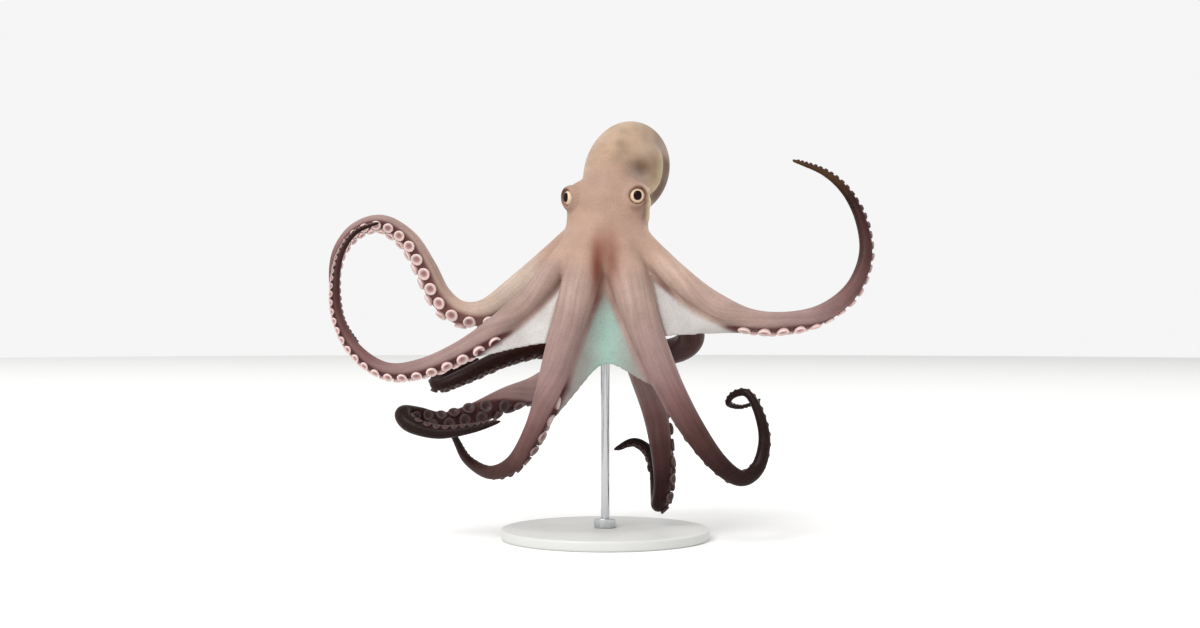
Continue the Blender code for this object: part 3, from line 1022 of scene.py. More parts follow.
@dataclass
class Eye:
    """One eyeball with a slightly bulging cornea."""

    node: str
    gaze: tuple[float, float, float]
    sides: int = 64
    bulge: float = 0.7 * MM
    centre: Array = field(init=False)
    radius: float = field(init=False)
    axes: tuple[Array, Array, Array] = field(init=False)

    def __post_init__(self) -> None:
        """Takes the place and the size from the CAD node."""
        low, high = (np.array(corner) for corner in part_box(self.node))
        self.centre = (low + high) / 2
        self.radius = float((high - low).max() / 2)
        ahead = unit(np.array(self.gaze))
        wide = unit(np.cross(ahead, [0.0, 0.0, 1.0]))
        self.axes = (ahead, wide, np.cross(wide, ahead))

    def build(self, finish: bpy.types.Material) -> bpy.types.Object:
        """Builds the ball, its poles front and back, and records its front for the pupil.

        Args:
            finish: the eye's material.

        Returns:
            The eyeball.
        """
        ahead, wide, up = self.axes
        flat = circle(self.sides)
        rings = []
        for tilt in np.linspace(0.012, 0.988, self.sides // 2 + 1) * math.pi:
            out, forth = math.sin(tilt), math.cos(tilt)
            swell = self.bulge * float(ease(np.array(forth), 0.62, 0.95))
            ring = flat[:, :1] * wide + flat[:, 1:2] * up
            rings.append(self.centre + (ring * out + ahead * forth) * (self.radius + swell))
        ball = new_object("eyeball_" + self.node[-1], faced_out(skinned(rings)))
        away = points_of(ball.data) - self.centre
        front = np.stack([away @ wide, away @ up, np.minimum(away @ ahead, 0)], axis=1)
        record_on(ball.data, "front", front)
        dress(ball, finish)
        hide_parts(self.node)
        return ball


# ---------------------------------------------------------------- the flesh


@dataclass
class Web:
    """The thin skin between two neighbouring arms, its free edge hollowed."""

    first: str
    second: str
    reach_first: float
    reach_second: float
    hollow: float
    thick: float = 2.7 * MM
    start: float = 36.0 * MM
    inset: float = 0.62
    steps: int = 40

    def side_of(
        self, arm: ArmRoute, other: ArmRoute, reach: float, other_reach: float, run: float
    ) -> Array:
        """The place just inside an arm's side, towards the other arm, where the web joins it.

        Args:
            arm: the arm that the web joins here.
            other: the arm on the web's other side.
            reach: how far along the arm the web goes, in millimetres.
            other_reach: how far along the other arm it goes.
            run: the share of those lengths.

        Returns:
            The point.
        """
        centre, along, _, _, radius = arm.spot(self.start + (reach * MM - self.start) * run)
        away = other.spot(self.start + (other_reach * MM - self.start) * run)[0] - centre
        away -= away @ along * along
        return centre + unit(away) * radius * self.inset

    def sheet(self) -> Piece:
        """Lays out the sheet so that it runs into both arms.

        Returns:
            The closed shape.
        """
        one, two = ARM[self.first], ARM[self.second]
        grid = np.empty((self.steps + 1, self.steps + 1, 3))
        shares = np.linspace(0, 1, self.steps + 1)
        mouth = np.array([0.0, 6.0 * MM, 0.0])
        for i, u in enumerate(shares):
            for j, v in enumerate(shares):
                bay = 4 * v * (1 - v)
                run = u * (1 - self.hollow * bay)
                a = self.side_of(one, two, self.reach_first, self.reach_second, run)
                b = self.side_of(two, one, self.reach_second, self.reach_first, run)
                point = a + (b - a) * v
                inward = unit(mouth + [0, 0, point[2] - 20 * MM] - point)
                grid[i, j] = point + inward * 0.16 * bay * np.linalg.norm(b - a)
        normal = unit(np.cross(np.gradient(grid, axis=0), np.gradient(grid, axis=1)))
        half = normal * self.thick / 2
        count = self.steps + 1
        index = np.arange(count * count).reshape(count, count)
        far = index + count * count
        faces: list[tuple[int, ...]] = []
        for i in range(self.steps):
            for j in range(self.steps):
                ring = (index[i, j], index[i + 1, j], index[i + 1, j + 1], index[i, j + 1])
                back = (far[i, j + 1], far[i + 1, j + 1], far[i + 1, j], far[i, j])
                faces += [tuple(map(int, ring)), tuple(map(int, back))]
        rim = [*index[0, :-1], *index[:-1, -1], *index[-1, :0:-1], *index[:0:-1, 0]]
        for a, b in zip(rim, [*rim[1:], rim[0]]):
            faces.append((int(a), int(b), int(b) + count * count, int(a) + count * count))
        points = np.vstack([(grid + half).reshape(-1, 3), (grid - half).reshape(-1, 3)])
        return faced_out((points, faces))


WEBS = (
    Web("arm_R1", "arm_L1", 228, 184, 0.33),
    Web("arm_R2", "arm_R1", 205, 134, 0.1),
    Web("arm_L2", "arm_L1", 214, 127, 0.05),
    Web("arm_R3", "arm_R2", 96, 110, 0.3),
    Web("arm_L3", "arm_L2", 96, 110, 0.3),
    Web("arm_R4", "arm_R3", 110, 110, 0.3),
    Web("arm_L4", "arm_L3", 105, 100, 0.3),
    Web("arm_R4", "arm_L4", 105, 105, 0.3),
)


@dataclass(frozen=True)
class Fold:
    """A raised fold on the front of the head or mantle, with a groove beside it.

    The waypoints are (x, z) in millimetres. A positive groove lies on the fold's +X side, a
    negative one on its -X side. `pale` is how much painted highlight its crest gets.
    """

    way: tuple[tuple[float, float], ...]
    height: float
    width: float
    groove: float
    pale: float

    def rise(self, points: Array) -> tuple[Array, Array]:
        """How strongly the fold and its groove act on each point.

        Args:
            points: the points, in metres.

        Returns:
            Two shares, 0 to 1: the fold's and the groove's.
        """
        line = smooth_line(np.array(self.way, float), 1.0) * MM
        gap = points[:, None, [0, 2]] - line[None]
        apart = np.hypot(gap[..., 0], gap[..., 1])
        nearest = apart.argmin(axis=1)
        rows = np.arange(len(points))
        signed = apart[rows, nearest] * np.sign(gap[rows, nearest, 0])
        share = nearest / (len(line) - 1)
        ends = ease(share, 0, 0.3) * (1 - ease(share, 0.75, 1))
        wide = self.width * MM
        beside = signed - math.copysign(1.5 * wide, self.groove)
        return ends * np.exp(-((signed / wide) ** 2)), ends * np.exp(-((beside / wide) ** 2))

    def beyond(self, points: Array) -> Array:
        """How surely each point lies on the +X side of the fold.

        Args:
            points: the points, in metres.

        Returns:
            A share, 0 to 1.
        """
        line = smooth_line(np.array(self.way, float), 1.0) * MM
        order = line[:, 1].argsort()
        edge = np.interp(points[:, 2], line[order, 1], line[order, 0])
        level = ease(points[:, 2], line[:, 1].min() - 8 * MM, line[:, 1].min())
        level *= 1 - ease(points[:, 2], line[:, 1].max() - 22 * MM, line[:, 1].max())
        return level * ease(points[:, 0] - edge, 0, 4 * MM)


@dataclass(frozen=True)
class Zones:
    """Where the colours of arm, web, head and mantle meet, in metres."""

    mantle_level: float = 0.41
    mantle_slope: float = 1.5
    mantle_edge: tuple[float, float] = (-20 * MM, 60 * MM)
    crown_edge: tuple[float, float] = (28 * MM, 74 * MM)  # along an arm
    head_edge: tuple[float, float] = (0.36, 0.375)  # in height
    head_reach: float = 0.12  # nothing further out belongs to the head or the mantle
    web_edge: tuple[float, float] = (1.14, 1.5)  # in arm radii
    # where the painted glow lies in the front web
    web_reach: float = 0.235  # along an arm
    deep_middle: float = 0.002
    deep_width: float = 0.022
    # where the front web's greyer, partly painted-shade colour lies
    deep_edge: tuple[float, float] = (-0.3, -0.24)  # in depth below the origin
    front_middle: float = 0.003
    front_width: float = 0.07
    front_taper: float = 0.2
    front_level: float = 0.2


@dataclass(frozen=True)
class Lid:
    """The sizes of an eyelid, in millimetres from the middle of the eye."""

    opening: float = 8.3
    brow_close: float = 0.6  # how much less it opens under the brow
    crest: float = 8.2
    brow_rise: float = 1.2
    floor: float = 2.5  # where the skin lies inside the opening
    wall: float = 1.6
    fall: tuple[float, float] = (9.8, 17.0)  # from the lid back to the skin
    reach: float = 18.0
    depth: tuple[float, float] = (-2.0, 22.0)


@dataclass
class Flesh:
    """Head, mantle, funnel, arms and webs, fused into one skin."""

    eyes: tuple[Eye, ...]
    zones: Zones = Zones()
    eyelid: Lid = Lid()
    voxel: float = 1.6 * MM
    most_triangles: int = 190_000
    lumps: tuple[tuple[tuple[float, ...], tuple[float, ...]], ...] = (
        ((2, 2, 384), (41, 37, 34)),
        ((1, 2, 348), (48, 45, 38)),
        ((33, -12, 390), (20, 20, 24)),
        ((-30, 0, 389), (17, 19, 23)),
        ((34, 0, 370), (17, 22, 30)),
        ((-29, 2, 369), (16, 22, 28)),
    )
    crown: tuple[float, float, float] = (1, 4, 352)
    mantle_way: tuple[tuple[float, float, float], ...] = (
        (2, -1, 376), (6, 8, 397), (13, 34, 415), (26.5, 84, 431), (37.5, 136, 445), (44, 172, 453),
    )
    # painted shade in the crease between the front arms at the crown: middle (x, z), size and
    # strength of each patch, in millimetres
    streaks: tuple[tuple[tuple[float, float], tuple[float, float], float], ...] = (
        ((-10, 306), (7, 30), 0.9), ((8, 318), (9, 30), 0.6), ((-3, 336), (14, 20), 0.45),
    )
    mantle_half_width: float = 48.0
    mantle_half_height: float = 55.0
    mantle_profile: tuple[tuple[float, float], ...] = (
        (0, 0.6), (0.11, 0.7), (0.26, 0.82), (0.4, 0.94), (0.53, 1.0), (0.68, 0.98),
        (0.81, 0.84), (0.9, 0.64), (0.96, 0.42), (1, 0.1),
    )
    folds: tuple[Fold, ...] = (
        Fold(
            ((61, 460), (64.5, 444), (65.5, 432), (63.5, 419), (58, 408), (48, 398), (40, 393)),
            3.4, 4.0, 3.0, 0.4,
        ),
        Fold(((45, 399), (49, 391), (50, 380), (49, 369), (46, 360)), 2.2, 2.8, -0.9, 0.9),
    )
    dent: tuple[float, float] = (43, 427)
    dent_depth: float = 5.0
    funnel_way: tuple[tuple[float, float, float], ...] = (
        (0, 38, 372), (-5, 60, 362), (-12, 82, 346),
    )

    def mantle(self) -> Piece:
        """Lays out the bag behind the head.

        Returns:
            The closed shape.
        """
        way = smooth_line(np.array(self.mantle_way, float), 2.0)
        along = unit(np.gradient(way, axis=0))
        wide = unit(np.array([1.0, 0, 0]) - along[:, :1] * along)
        tall = np.cross(wide, along)
        size = smooth_line(np.array(self.mantle_profile), 0.01)
        shares = np.linspace(0, 1, len(way))
        sizes = np.interp(shares, size[:, 0], size[:, 1])
        flat = circle(72)
        rings = [
            place + flat[:, :1] * x * self.mantle_half_width * k
            + flat[:, 1:2] * z * self.mantle_half_height * k
            for place, x, z, k in zip(way, wide, tall, sizes)
        ]
        points, faces = skinned(rings)
        return faced_out((points * MM, faces))

    def funnel(self) -> Piece:
        """Lays out the funnel, hollow at its mouth.

        Returns:
            The closed shape.
        """
        way = smooth_line(np.array(self.funnel_way) * MM, 2 * MM)
        along = unit(np.gradient(way, axis=0))
        flat = circle(32)

        def ring(place: float, r: float) -> Array:
            """Lays a ring round the funnel's middle line.

            Args:
                place: the share of the way along.
                r: its radius in millimetres.

            Returns:
                The ring's points.
            """
            i = min(int(place * (len(way) - 1)), len(way) - 1)
            wide = unit(np.cross(along[i], [0, 0, 1.0]))
            tall = np.cross(wide, along[i])
            return way[i] + (flat[:, :1] * wide + flat[:, 1:2] * tall) * r * MM

        outer = [ring(place, 15 - 5.6 * place) for place in np.linspace(0, 1, 14)]
        inner = [ring(1 - 0.34 * share, 6.4 - 0.8 * share) for share in (0, 0.5, 1)]
        return faced_out(skinned([*outer, *inner]))

    def fused(self) -> bpy.types.Object:
        """Fuses every shape into one closed skin of even squares.

        Returns:
            The skin.
        """
        shapes = [
            faced_out(ellipsoid(np.array(c) * MM, np.array(r) * MM)) for c, r in self.lumps
        ]
        shapes += [faced_out(arm.tube()) for arm in ARMS]
        shapes += [web.sheet() for web in WEBS]
        shapes += [self.mantle(), self.funnel()]
        skin = new_object("skin", joined(shapes))
        remesh = skin.modifiers.new("fuse", "REMESH")
        remesh.mode = "VOXEL"
        remesh.voxel_size = self.voxel
        remesh.use_smooth_shade = True
        return settled(skin)

    def evened(self, skin: bpy.types.Object) -> None:
        """Smooths the skin without shrinking it, and more where the parts of the head meet.

        Args:
            skin: the fused skin.
        """
        mesh = skin.data
        points = points_of(mesh)
        ends = np.empty(len(mesh.edges) * 2, np.int32)
        mesh.edges.foreach_get("vertices", ends)
        a, b = ends.reshape(-1, 2).T
        count = np.bincount(ends, minlength=len(points))[:, None]

        def pull(where: Array) -> Array:
            """Finds the way from each point to the middle of its neighbours.

            Args:
                where: the points' places.

            Returns:
                One way to a row.
            """
            total = np.stack(
                [
                    np.bincount(a, where[b, k], len(where))
                    + np.bincount(b, where[a, k], len(where))
                    for k in range(3)
                ],
                axis=1,
            )
            return total / count - where

        for _ in range(8):
            points += 0.5 * pull(points)
            points -= 0.52 * pull(points)
        far = np.linalg.norm((points - np.array(self.crown) * MM) / [1, 1, 1.2], axis=1)
        soft = (1 - ease(far, 50 * MM, 85 * MM))[:, None]
        for _ in range(110):
            points += 0.6 * soft * pull(points)
        set_points(mesh, points)

    def folded(self, skin: bpy.types.Object) -> None:
        """Raises the folds of the mantle and the cheek and sinks the dent beside them. Records the
        painted shade in the grooves, the dent and the mantle's far side, and the painted
        highlight on the fold crests.

        Args:
            skin: the evened skin.
        """
        mesh = skin.data
        points = points_of(mesh)
        normals = np.empty(len(points) * 3, np.float32)
        mesh.vertex_normals.foreach_get("vector", normals)
        normals = normals.reshape(-1, 3).astype(float)
        dim, pale = np.zeros(len(points)), np.zeros(len(points))
        near = np.flatnonzero((points[:, 2] > 0.34) & (normals[:, 1] < 0.2) & (points[:, 0] > 0))
        push = np.zeros(len(near))
        front = ease(-normals[near, 1], -0.2, 0.25)
        for fold in self.folds:
            ridge, groove = fold.rise(points[near])
            push += (ridge * fold.height - groove * abs(fold.groove)) * MM
            # painted shade in the groove beside each fold
            dim[near] += groove * front * 0.55
            # painted highlight on the fold's crest
            pale[near] += ridge * front * fold.pale
        x, z = (points[near][:, [0, 2]] - np.array(self.dent) * MM).T
        hollow = np.exp(-((x / (17 * MM)) ** 2) - (z / (13 * MM)) ** 2)
        push -= hollow * self.dent_depth * MM
        # painted shade in the dent
        dim[near] += hollow * 0.8 * front
        # painted shade on the mantle's right side and beyond the first fold, fading out towards the
        # back
        behind = 1 - ease(points[:, 1], 0.09, 0.17)
        side = ease(points[:, 0], 38 * MM, 66 * MM) * ease(points[:, 2], 0.385, 0.42)
        shade = self.folds[0].beyond(points) * ease(points[:, 1], 0, 0.02)
        dim = np.maximum(dim, np.maximum(0.5 * side, 0.9 * shade) * behind)
        points[near] += normals[near] * (push * front)[:, None]
        set_points(mesh, points)
        record_on(mesh, "dim", np.clip(dim, 0, 1))
        record_on(mesh, "pale", np.clip(pale, 0, 1))

    def lids(self, skin: bpy.types.Object) -> None:
        """Opens the skin over each eyeball and raises a lid round it. Records the painted shade in
        the crease round the lid and below the eye.

        Args:
            skin: the folded skin.
        """
        points = points_of(skin.data)
        size = self.eyelid
        least, most = (depth * MM for depth in size.depth)
        lid = np.zeros(len(points))
        for eye in self.eyes:
            ahead, wide, up = eye.axes
            away = points - eye.centre
            forth, x, y = away @ ahead, away @ wide, away @ up
            out = np.hypot(x, y * 0.94)
            near = (forth > least) & (out < size.reach * MM) & (forth < most)
            brow = np.clip(y / np.maximum(out, MM), -1, 1)
            inner = np.clip(x / np.maximum(out, MM) * -math.copysign(1, eye.centre[0]), -1, 1)
            opening = (size.opening - size.brow_close * np.clip(brow, 0, 1)) * MM
            crest = (size.crest + size.brow_rise * np.clip(brow, 0, 1)) * MM
            wall = ease(out - opening, 0, size.wall * MM)
            fall = ease(out, size.fall[0] * MM, size.fall[1] * MM)
            shape = size.floor * MM + wall * (crest - size.floor * MM)
            wanted = shape * (1 - fall) + forth * fall
            points[near] += np.outer((wanted - forth)[near], ahead)
            # painted shade in the crease round the lid, strongest under the brow and on the inner
            # side
            ring = np.exp(-(((out - opening - size.wall * MM) / (1.8 * MM)) ** 2))
            shaded = 0.25 + 0.65 * np.clip(0.6 * brow + 0.8 * inner, 0, 1)
            # painted shade below the eye, on its inner side
            under_eye_shade = np.exp(-(((out - 12 * MM) / (5 * MM)) ** 2))
            under_eye_shade *= 0.45 * np.clip(0.7 * inner - 0.6 * brow, 0, 1)
            lid[near] = np.maximum(lid, np.maximum(ring * shaded, under_eye_shade))[near]
        set_points(skin.data, points)
        record_on(skin.data, "lid", lid)

    def thinned(self, skin: bpy.types.Object) -> None:
        """Brings the skin under its number of triangles.

        Args:
            skin: the finished skin.
        """
        triangulate = skin.modifiers.new("triangles", "TRIANGULATE")
        triangulate.min_vertices = 4
        settled(skin)
        count = len(skin.data.polygons)
        if count > self.most_triangles:
            fewer = skin.modifiers.new("fewer", "DECIMATE")
            fewer.ratio = self.most_triangles / count
            settled(skin)
        skin.data.shade_smooth()
        LOG.info("skin fused from %d triangles to %d", count, len(skin.data.polygons))

    def charted(self, skin: bpy.types.Object) -> None:
        """Records, for each point, where on the animal it lies, with the masks of the painted glow
        and shade on the front web and of the painted shade at the crown.

        Args:
            skin: the finished skin.
        """
        mesh = skin.data
        points = points_of(mesh)
        line = np.vstack([arm.path for arm in ARMS])
        tree = KDTree(len(line))
        for i, place in enumerate(line):
            tree.insert(place, i)
        tree.balance()
        nearest = np.array([tree.find(p)[1] for p in points.tolist()])
        age = np.concatenate([arm.age for arm in ARMS])[nearest]
        run = np.concatenate([arm.at for arm in ARMS])[nearest]
        radius = np.concatenate([arm.radius for arm in ARMS])[nearest]
        along, oral, across = (
            np.vstack([getattr(arm, axis) for arm in ARMS])[nearest]
            for axis in ("along", "oral", "across")
        )
        away = points - line[nearest]
        away -= (away * along).sum(1, keepdims=True) * along
        out = np.linalg.norm(away, axis=1)
        toward = (away * oral).sum(1) / np.maximum(out, 1e-9)
        sideways = (away * across).sum(1) / np.maximum(out, 1e-9)
        span = out / radius
        zone = self.zones
        x, y, z = points.T
        mantle = ease(y + (z - zone.mantle_level) * zone.mantle_slope, *zone.mantle_edge)
        head = np.maximum(1 - ease(run, *zone.crown_edge), ease(z, *zone.head_edge))
        far_arm = np.abs(x) > zone.head_reach
        head = np.where(far_arm, 0, head)
        mantle = np.where(far_arm, 0, mantle)
        web = ease(span, *zone.web_edge) * (1 - head) * (run < zone.web_reach)
        # painted glow of light through the thin middle of the front web
        middle = np.exp(-((x - zone.deep_middle) / zone.deep_width) ** 2) * (y < 0)
        deep = middle * ease(-z, *zone.deep_edge)
        half_front = zone.front_width - zone.front_taper * (z - zone.front_level)
        front_web = (y < 0) * (np.abs(x - zone.front_middle) < half_front)
        # painted shade in the crease between the front arms, on the front only
        streak = np.zeros(len(points))
        for (middle_x, middle_z), (wide, tall), depth in self.streaks:
            across_it = (x - middle_x * MM) / (wide * MM)
            along_it = (z - middle_z * MM) / (tall * MM)
            streak += depth * np.exp(-(across_it**2) - along_it**2)
        streak = np.clip(streak, 0, 1) * (y < -0.01)
        angle = np.arctan2(sideways, -toward)
        flow = np.stack([run, angle * radius, np.zeros_like(run)], axis=1)
        for name, values in (
            ("run", age), ("oral", toward * (1 - head)), ("web", web), ("deep", deep),
            ("front", front_web), ("head", head), ("mantle", mantle), ("streak", streak),
            ("flow", flow),
        ):
            record_on(mesh, name, values)

    def build(self, finish: bpy.types.Material) -> bpy.types.Object:
        """Builds and dresses the skin, which stands for every node of flesh.

        Args:
            finish: the skin's material.

        Returns:
            The skin.
        """
        skin = self.fused()
        self.evened(skin)
        self.folded(skin)
        self.lids(skin)
        self.thinned(skin)
        self.charted(skin)
        dress(skin, finish)
        kinds = ("arm_", "web_", "head", "mantle", "funnel")
        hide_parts(*[n for n in sorted(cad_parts) if n.startswith(kinds)])
        return skin


# ---------------------------------------------------------------- suckers


@dataclass
class Suckers:
    """Two staggered rows of suckers along every arm, set out by Geometry Nodes."""

    first: float = 50.0 * MM
    sides: int = 12
    tilt: float = math.radians(7)
    seed: int = 8
    profile: tuple[tuple[float, float, float], ...] = (
        (0.78, -0.5, 0.3), (0.92, -0.05, 0.5), (1.0, 0.22, 0.85), (0.9, 0.36, 1.0),
        (0.62, 0.2, 0.55), (0.3, 0.0, 0.1),
    )

    def cup(self) -> bpy.types.Object:
        """Makes one sucker of radius one, its floor closed, with its height recorded.

        Returns:
            The sucker, to be set out and then removed.
        """
        rings = [circle(self.sides) * r + np.array([0, 0, z]) for r, z, _ in self.profile]
        made = new_object("sucker_pattern", faced_out(skinned(rings)))
        rise = np.repeat([share for _, _, share in self.profile], self.sides)
        record_on(made.data, "rise", rise)
        return made

    def seats(self) -> bpy.types.Object:
        """Sets a point for each sucker, with its size and the ways it faces and lies.

        Returns:
            The points, as a mesh without faces.
        """
        place, facing, heading, size, tone = [], [], [], [], []
        for arm in ARMS:
            run, row = self.first, 0
            while run < arm.length - 3 * MM:
                centre, along, oral, across, r = arm.spot(run)
                wide = min(0.56 * r + 0.4 * MM, 7.6 * MM, 0.8 * r)
                side = 1 if row % 2 else -1
                lean = 0.5 * side * min(1.0, r / (6 * MM))
                out = unit(oral + across * lean)
                place.append(centre + across * side * 0.47 * r + oral * 0.8 * r)
                facing.append(out)
                heading.append(along)
                size.append(wide)
                age = float(np.interp(run, arm.at, arm.age))
                # the sucker's tone follows the arm's darkening and its cup_dusk, partly painted
                # shade
                tone.append(float(ease(np.array(age + arm.cup_dusk), 0.42, 0.82)) * 0.92)
                run += 1.28 * wide
                row += 1
        mesh = bpy.data.meshes.new("sucker_seats")
        mesh.from_pydata([tuple(p) for p in place], [], [])
        record_on(mesh, "facing", np.array(facing))
        record_on(mesh, "heading", np.array(heading))
        record_on(mesh, "size", np.array(size))
        record_on(mesh, "tone", np.array(tone))
        made = bpy.data.objects.new("suckers", mesh)
        bpy.context.scene.collection.objects.link(made)
        LOG.info("%d suckers set out", len(place))
        return made

    def tree(self) -> bpy.types.NodeTree:
        """Builds the node tree that puts a cup on every seat.

        Returns:
            The tree, with the inputs "Seats", "Cup", "Tilt", "Seed" and "Lining".
        """
        tree = bpy.data.node_groups.new("suckers_on_seats", "GeometryNodeTree")
        face = tree.interface
        face.new_socket("Seats", in_out="INPUT", socket_type="NodeSocketGeometry")
        for name, kind in (
            ("Cup", "NodeSocketObject"), ("Tilt", "NodeSocketFloat"),
            ("Seed", "NodeSocketInt"), ("Lining", "NodeSocketMaterial"),
        ):
            face.new_socket(name, in_out="INPUT", socket_type=kind)
        face.new_socket("Suckers", in_out="OUTPUT", socket_type="NodeSocketGeometry")
        given = add_node(tree, "NodeGroupInput").outputs
        vector = {"data_type": "FLOAT_VECTOR"}
        facing = add_node(tree, "GeometryNodeInputNamedAttribute", vector, {0: "facing"})
        heading = add_node(tree, "GeometryNodeInputNamedAttribute", vector, {0: "heading"})
        size = add_node(
            tree, "GeometryNodeInputNamedAttribute", {"data_type": "FLOAT"}, {0: "size"}
        )
        upright = add_node(
            tree, "FunctionNodeAlignRotationToVector", {"axis": "Z"},
            {"Vector": facing.outputs[0]},
        )
        placed = add_node(
            tree, "FunctionNodeAlignRotationToVector", {"axis": "X", "pivot_axis": "Z"},
            {"Rotation": upright.outputs[0], "Vector": heading.outputs[0]},
        )
        low = add_node(
            tree, "ShaderNodeMath", {"operation": "MULTIPLY"}, {0: given["Tilt"], 1: -1.0}
        )
        low_turn = add_node(
            tree, "ShaderNodeCombineXYZ", None, {0: low.outputs[0], 1: low.outputs[0]}
        )
        high_turn = add_node(
            tree, "ShaderNodeCombineXYZ", None, {0: given["Tilt"], 1: given["Tilt"]}
        )
        nod = add_node(
            tree, "FunctionNodeRandomValue", vector,
            {0: low_turn.outputs[0], 1: high_turn.outputs[0], "Seed": given["Seed"]},
        )
        nod_turn = add_node(tree, "FunctionNodeEulerToRotation", None, {0: nod.outputs[0]})
        turned_cup = add_node(
            tree, "FunctionNodeRotateRotation", {"rotation_space": "LOCAL"},
            {0: placed.outputs[0], 1: nod_turn.outputs[0]},
        )
        cup = add_node(
            tree, "GeometryNodeObjectInfo", {"transform_space": "ORIGINAL"}, {0: given["Cup"]}
        )
        set_out = add_node(
            tree, "GeometryNodeInstanceOnPoints", None,
            {
                "Points": given["Seats"], "Instance": cup.outputs["Geometry"],
                "Rotation": turned_cup.outputs[0], "Scale": size.outputs[0],
            },
        )
        real = add_node(tree, "GeometryNodeRealizeInstances", None, {0: set_out.outputs[0]})
        lined = add_node(
            tree, "GeometryNodeSetMaterial", None, {0: real.outputs[0], 2: given["Lining"]}
        )
        add_node(tree, "NodeGroupOutput", None, {0: lined.outputs[0]})
        return tree

    def build(self, finish: bpy.types.Material) -> bpy.types.Object:
        """Builds the suckers as one plain mesh that rides on the body.

        Args:
            finish: the suckers' material.

        Returns:
            The suckers.
        """
        suckers, cup = self.seats(), self.cup()
        modifier = suckers.modifiers.new("set out", "NODES")
        modifier.node_group = self.tree()
        values = {"Cup": cup, "Tilt": self.tilt, "Seed": self.seed, "Lining": finish}
        for item in modifier.node_group.interface.items_tree:
            if item.in_out == "INPUT" and item.name in values:
                modifier[item.identifier] = values[item.name]
        settled(suckers)
        bpy.data.objects.remove(cup)
        suckers.data.shade_smooth()
        dress(suckers, finish)
        return suckers


# ---------------------------------------------------------------- stand


@dataclass
class Stand:
    """The round base, the rod in its collar and the cup under the crown."""

    edge: float = 2.5 * MM
    collar_radius: float = 13.0 * MM
    collar_height: float = 11.0 * MM
    sides: int = 96

    @staticmethod
    def rounded(r: float, low: float, high: float, edge: float) -> list[tuple[float, float]]:
        """Draws a disc with rounded edges.

        Args:
            r: its radius.
            low: the height of its underside.
            high: the height of its top.
            edge: the radius of its edges.

        Returns:
            The profile, from its middle below to its middle above.
        """
        turn = np.linspace(0, math.pi / 2, 6)
        lower = [(r - edge + edge * math.sin(t), low + edge - edge * math.cos(t)) for t in turn]
        upper = [(r - edge + edge * math.cos(t), high - edge + edge * math.sin(t)) for t in turn]
        return [(AXIS_GAP, low), *lower, *upper, (AXIS_GAP, high)]

    def build(self, coat: bpy.types.Material, steel: bpy.types.Material) -> None:
        """Builds the three pieces in the places of the CAD nodes.

        Args:
            coat: the base plate's material.
            steel: the rod's and the collar's material.
        """
        low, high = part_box("stand_base")
        middle = np.array([(low.x + high.x) / 2, (low.y + high.y) / 2, 0.0])
        profile = self.rounded((high.x - low.x) / 2, low.z, high.z, self.edge)
        base = new_object("stand_base_plate", faced_out(turned(profile, middle, self.sides)))
        dress(base, coat)
        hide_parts("stand_base")

        rod_low, rod_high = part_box("stand_rod")
        axis = np.array([(rod_low.x + rod_high.x) / 2, (rod_low.y + rod_high.y) / 2, 0.0])
        cup_r = (rod_high.x - rod_low.x) / 2
        rod_r, top = cup_r / 3, rod_high.z
        shape = [
            (AXIS_GAP, rod_low.z), (rod_r, rod_low.z), (rod_r, top - 12 * MM),
            (rod_r * 1.25, top - 9 * MM), (cup_r * 0.8, top - 4.5 * MM), (cup_r, top - 3 * MM),
            (cup_r, top - 0.6 * MM), (cup_r - 0.6 * MM, top), (AXIS_GAP, top),
        ]
        rod = new_object("stand_rod_and_cup", faced_out(turned(shape, axis, 48)))
        self.crisp(rod)
        dress(rod, steel)
        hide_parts("stand_rod")

        ring = self.rounded(self.collar_radius, high.z, high.z + self.collar_height, 1.2 * MM)
        collar = new_object("stand_collar", faced_out(turned(ring, axis, 64)))
        self.crisp(collar)
        dress(collar, steel)
        self.crisp(base)

    @staticmethod
    def crisp(piece: bpy.types.Object) -> None:
        """Keeps the flat faces flat beside the rounded edges.

        Args:
            piece: the piece.
        """
        piece.data.set_sharp_from_angle(angle=CRISP_ANGLE)


# ---------------------------------------------------------------- studio


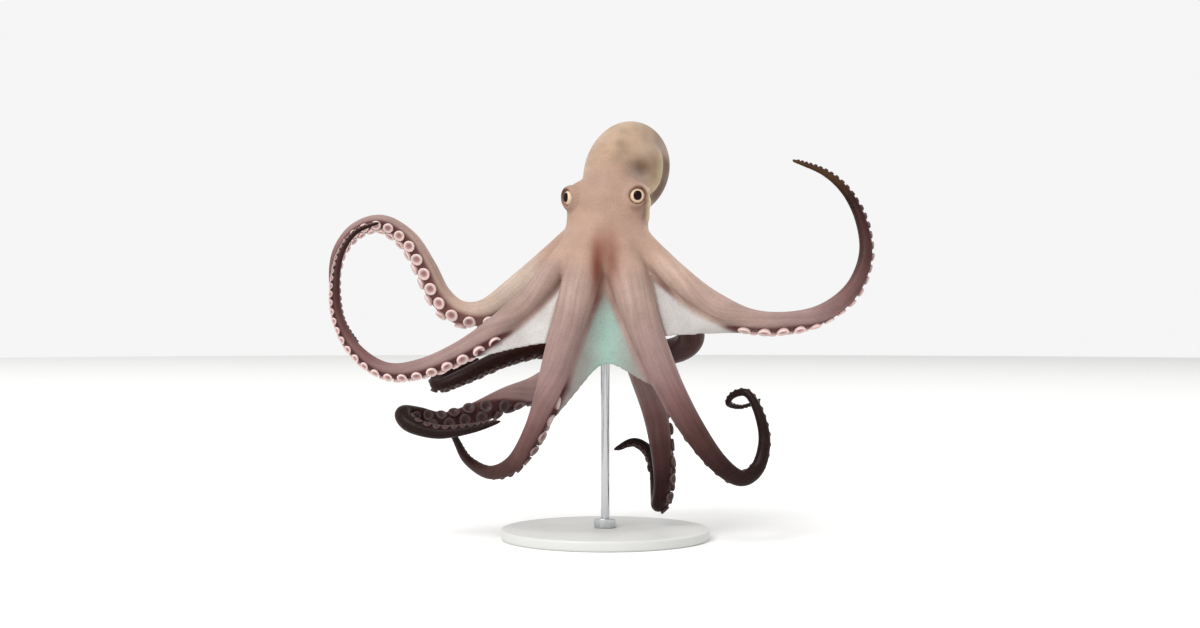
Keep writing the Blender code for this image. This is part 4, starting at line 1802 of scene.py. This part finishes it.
@dataclass
class Studio:
    """A pale floor, soft lights and the camera."""

    floor_colour: str = "#EEEEED"
    camera_place: tuple[float, float, float] = (-0.006, -2.0, 0.258)
    frame_width: float = 1.38
    sensor: float = 36.0
    sky: float = 0.92
    key_way: tuple[float, float, float] = (0.5, 0.62, -0.9)
    key_power: float = 1.75
    key_softness: float = math.radians(32)
    lamps: tuple[tuple[tuple[float, ...], float, float], ...] = (
        ((-1.2, -1.6, 1.1), 0.7, 5.0),
        ((1.5, 1.4, 1.3), 0.9, 8.0),
    )
    aim: tuple[float, float, float] = (0.0, 0.0, 0.3)

    def build(self) -> None:
        """Builds the room."""
        scene = bpy.context.scene
        scene.view_settings.view_transform = "Standard"
        floor = new_object(
            "floor", turned([(0.01, -0.02), (9.0, -0.02), (9.0, 0.0), (0.01, 0.0)], np.zeros(3), 64)
        )
        pale = bpy.data.materials.new("pale_floor")
        pale.use_nodes = True
        shader = pale.node_tree.nodes["Principled BSDF"]
        shader.inputs["Base Color"].default_value = linear(self.floor_colour)
        shader.inputs["Specular IOR Level"].default_value = 0.0
        floor.data.materials.append(pale)
        world = bpy.data.worlds.new("studio")
        world.use_nodes = True
        sky = world.node_tree.nodes["Background"]
        sky.inputs[0].default_value = (1, 1, 1, 1)
        sky.inputs[1].default_value = self.sky
        scene.world = world
        key = bpy.data.lights.new("key", "SUN")
        key.energy, key.angle = self.key_power, self.key_softness
        self.hang(key, (0, 0, 2), self.key_way)
        for k, (place, size, power) in enumerate(self.lamps):
            lamp = bpy.data.lights.new(f"softbox_{k}", "AREA")
            lamp.size, lamp.energy = size, power
            self.hang(lamp, place, tuple(Vector(self.aim) - Vector(place)))
        lens = bpy.data.cameras.new("camera")
        lens.sensor_width = self.sensor
        lens.lens = self.sensor * -self.camera_place[1] / self.frame_width
        camera = bpy.data.objects.new("camera", lens)
        scene.collection.objects.link(camera)
        camera.location = self.camera_place
        camera.rotation_euler = (math.radians(90), 0, 0)
        scene.camera = camera

    @staticmethod
    def hang(lamp: bpy.types.Light, place: tuple[float, ...], way: tuple[float, ...]) -> None:
        """Hangs a lamp.

        Args:
            lamp: the lamp.
            place: where it hangs.
            way: the way it shines.
        """
        holder = bpy.data.objects.new(lamp.name, lamp)
        bpy.context.scene.collection.objects.link(holder)
        holder.location = place
        holder.rotation_euler = Vector(way).to_track_quat("-Z", "Y").to_euler()


def main() -> None:
    """Builds every piece in order."""
    logging.basicConfig(level=logging.INFO, format="%(name)s: %(message)s")
    Studio().build()
    LOG.info("studio ready")
    gloss = EyeGloss().material()
    eyes = (Eye("eye_L", (0.05, -1.0, 0.03)), Eye("eye_R", (-0.8, -0.6, 0.02)))
    for eye in eyes:
        LOG.info("built %s", eye.build(gloss).name)
    skin = Flesh(eyes).build(MoistSkin().material())
    LOG.info("built %s, %d triangles", skin.name, len(skin.data.polygons))
    suckers = Suckers().build(SuckerSkin().material())
    LOG.info("built %s, %d faces", suckers.name, len(suckers.data.polygons))
    Stand().build(PowderCoat().material(), BrushedSteel().material())
    LOG.info("built the stand")


if __name__ == "__main__":
    main()
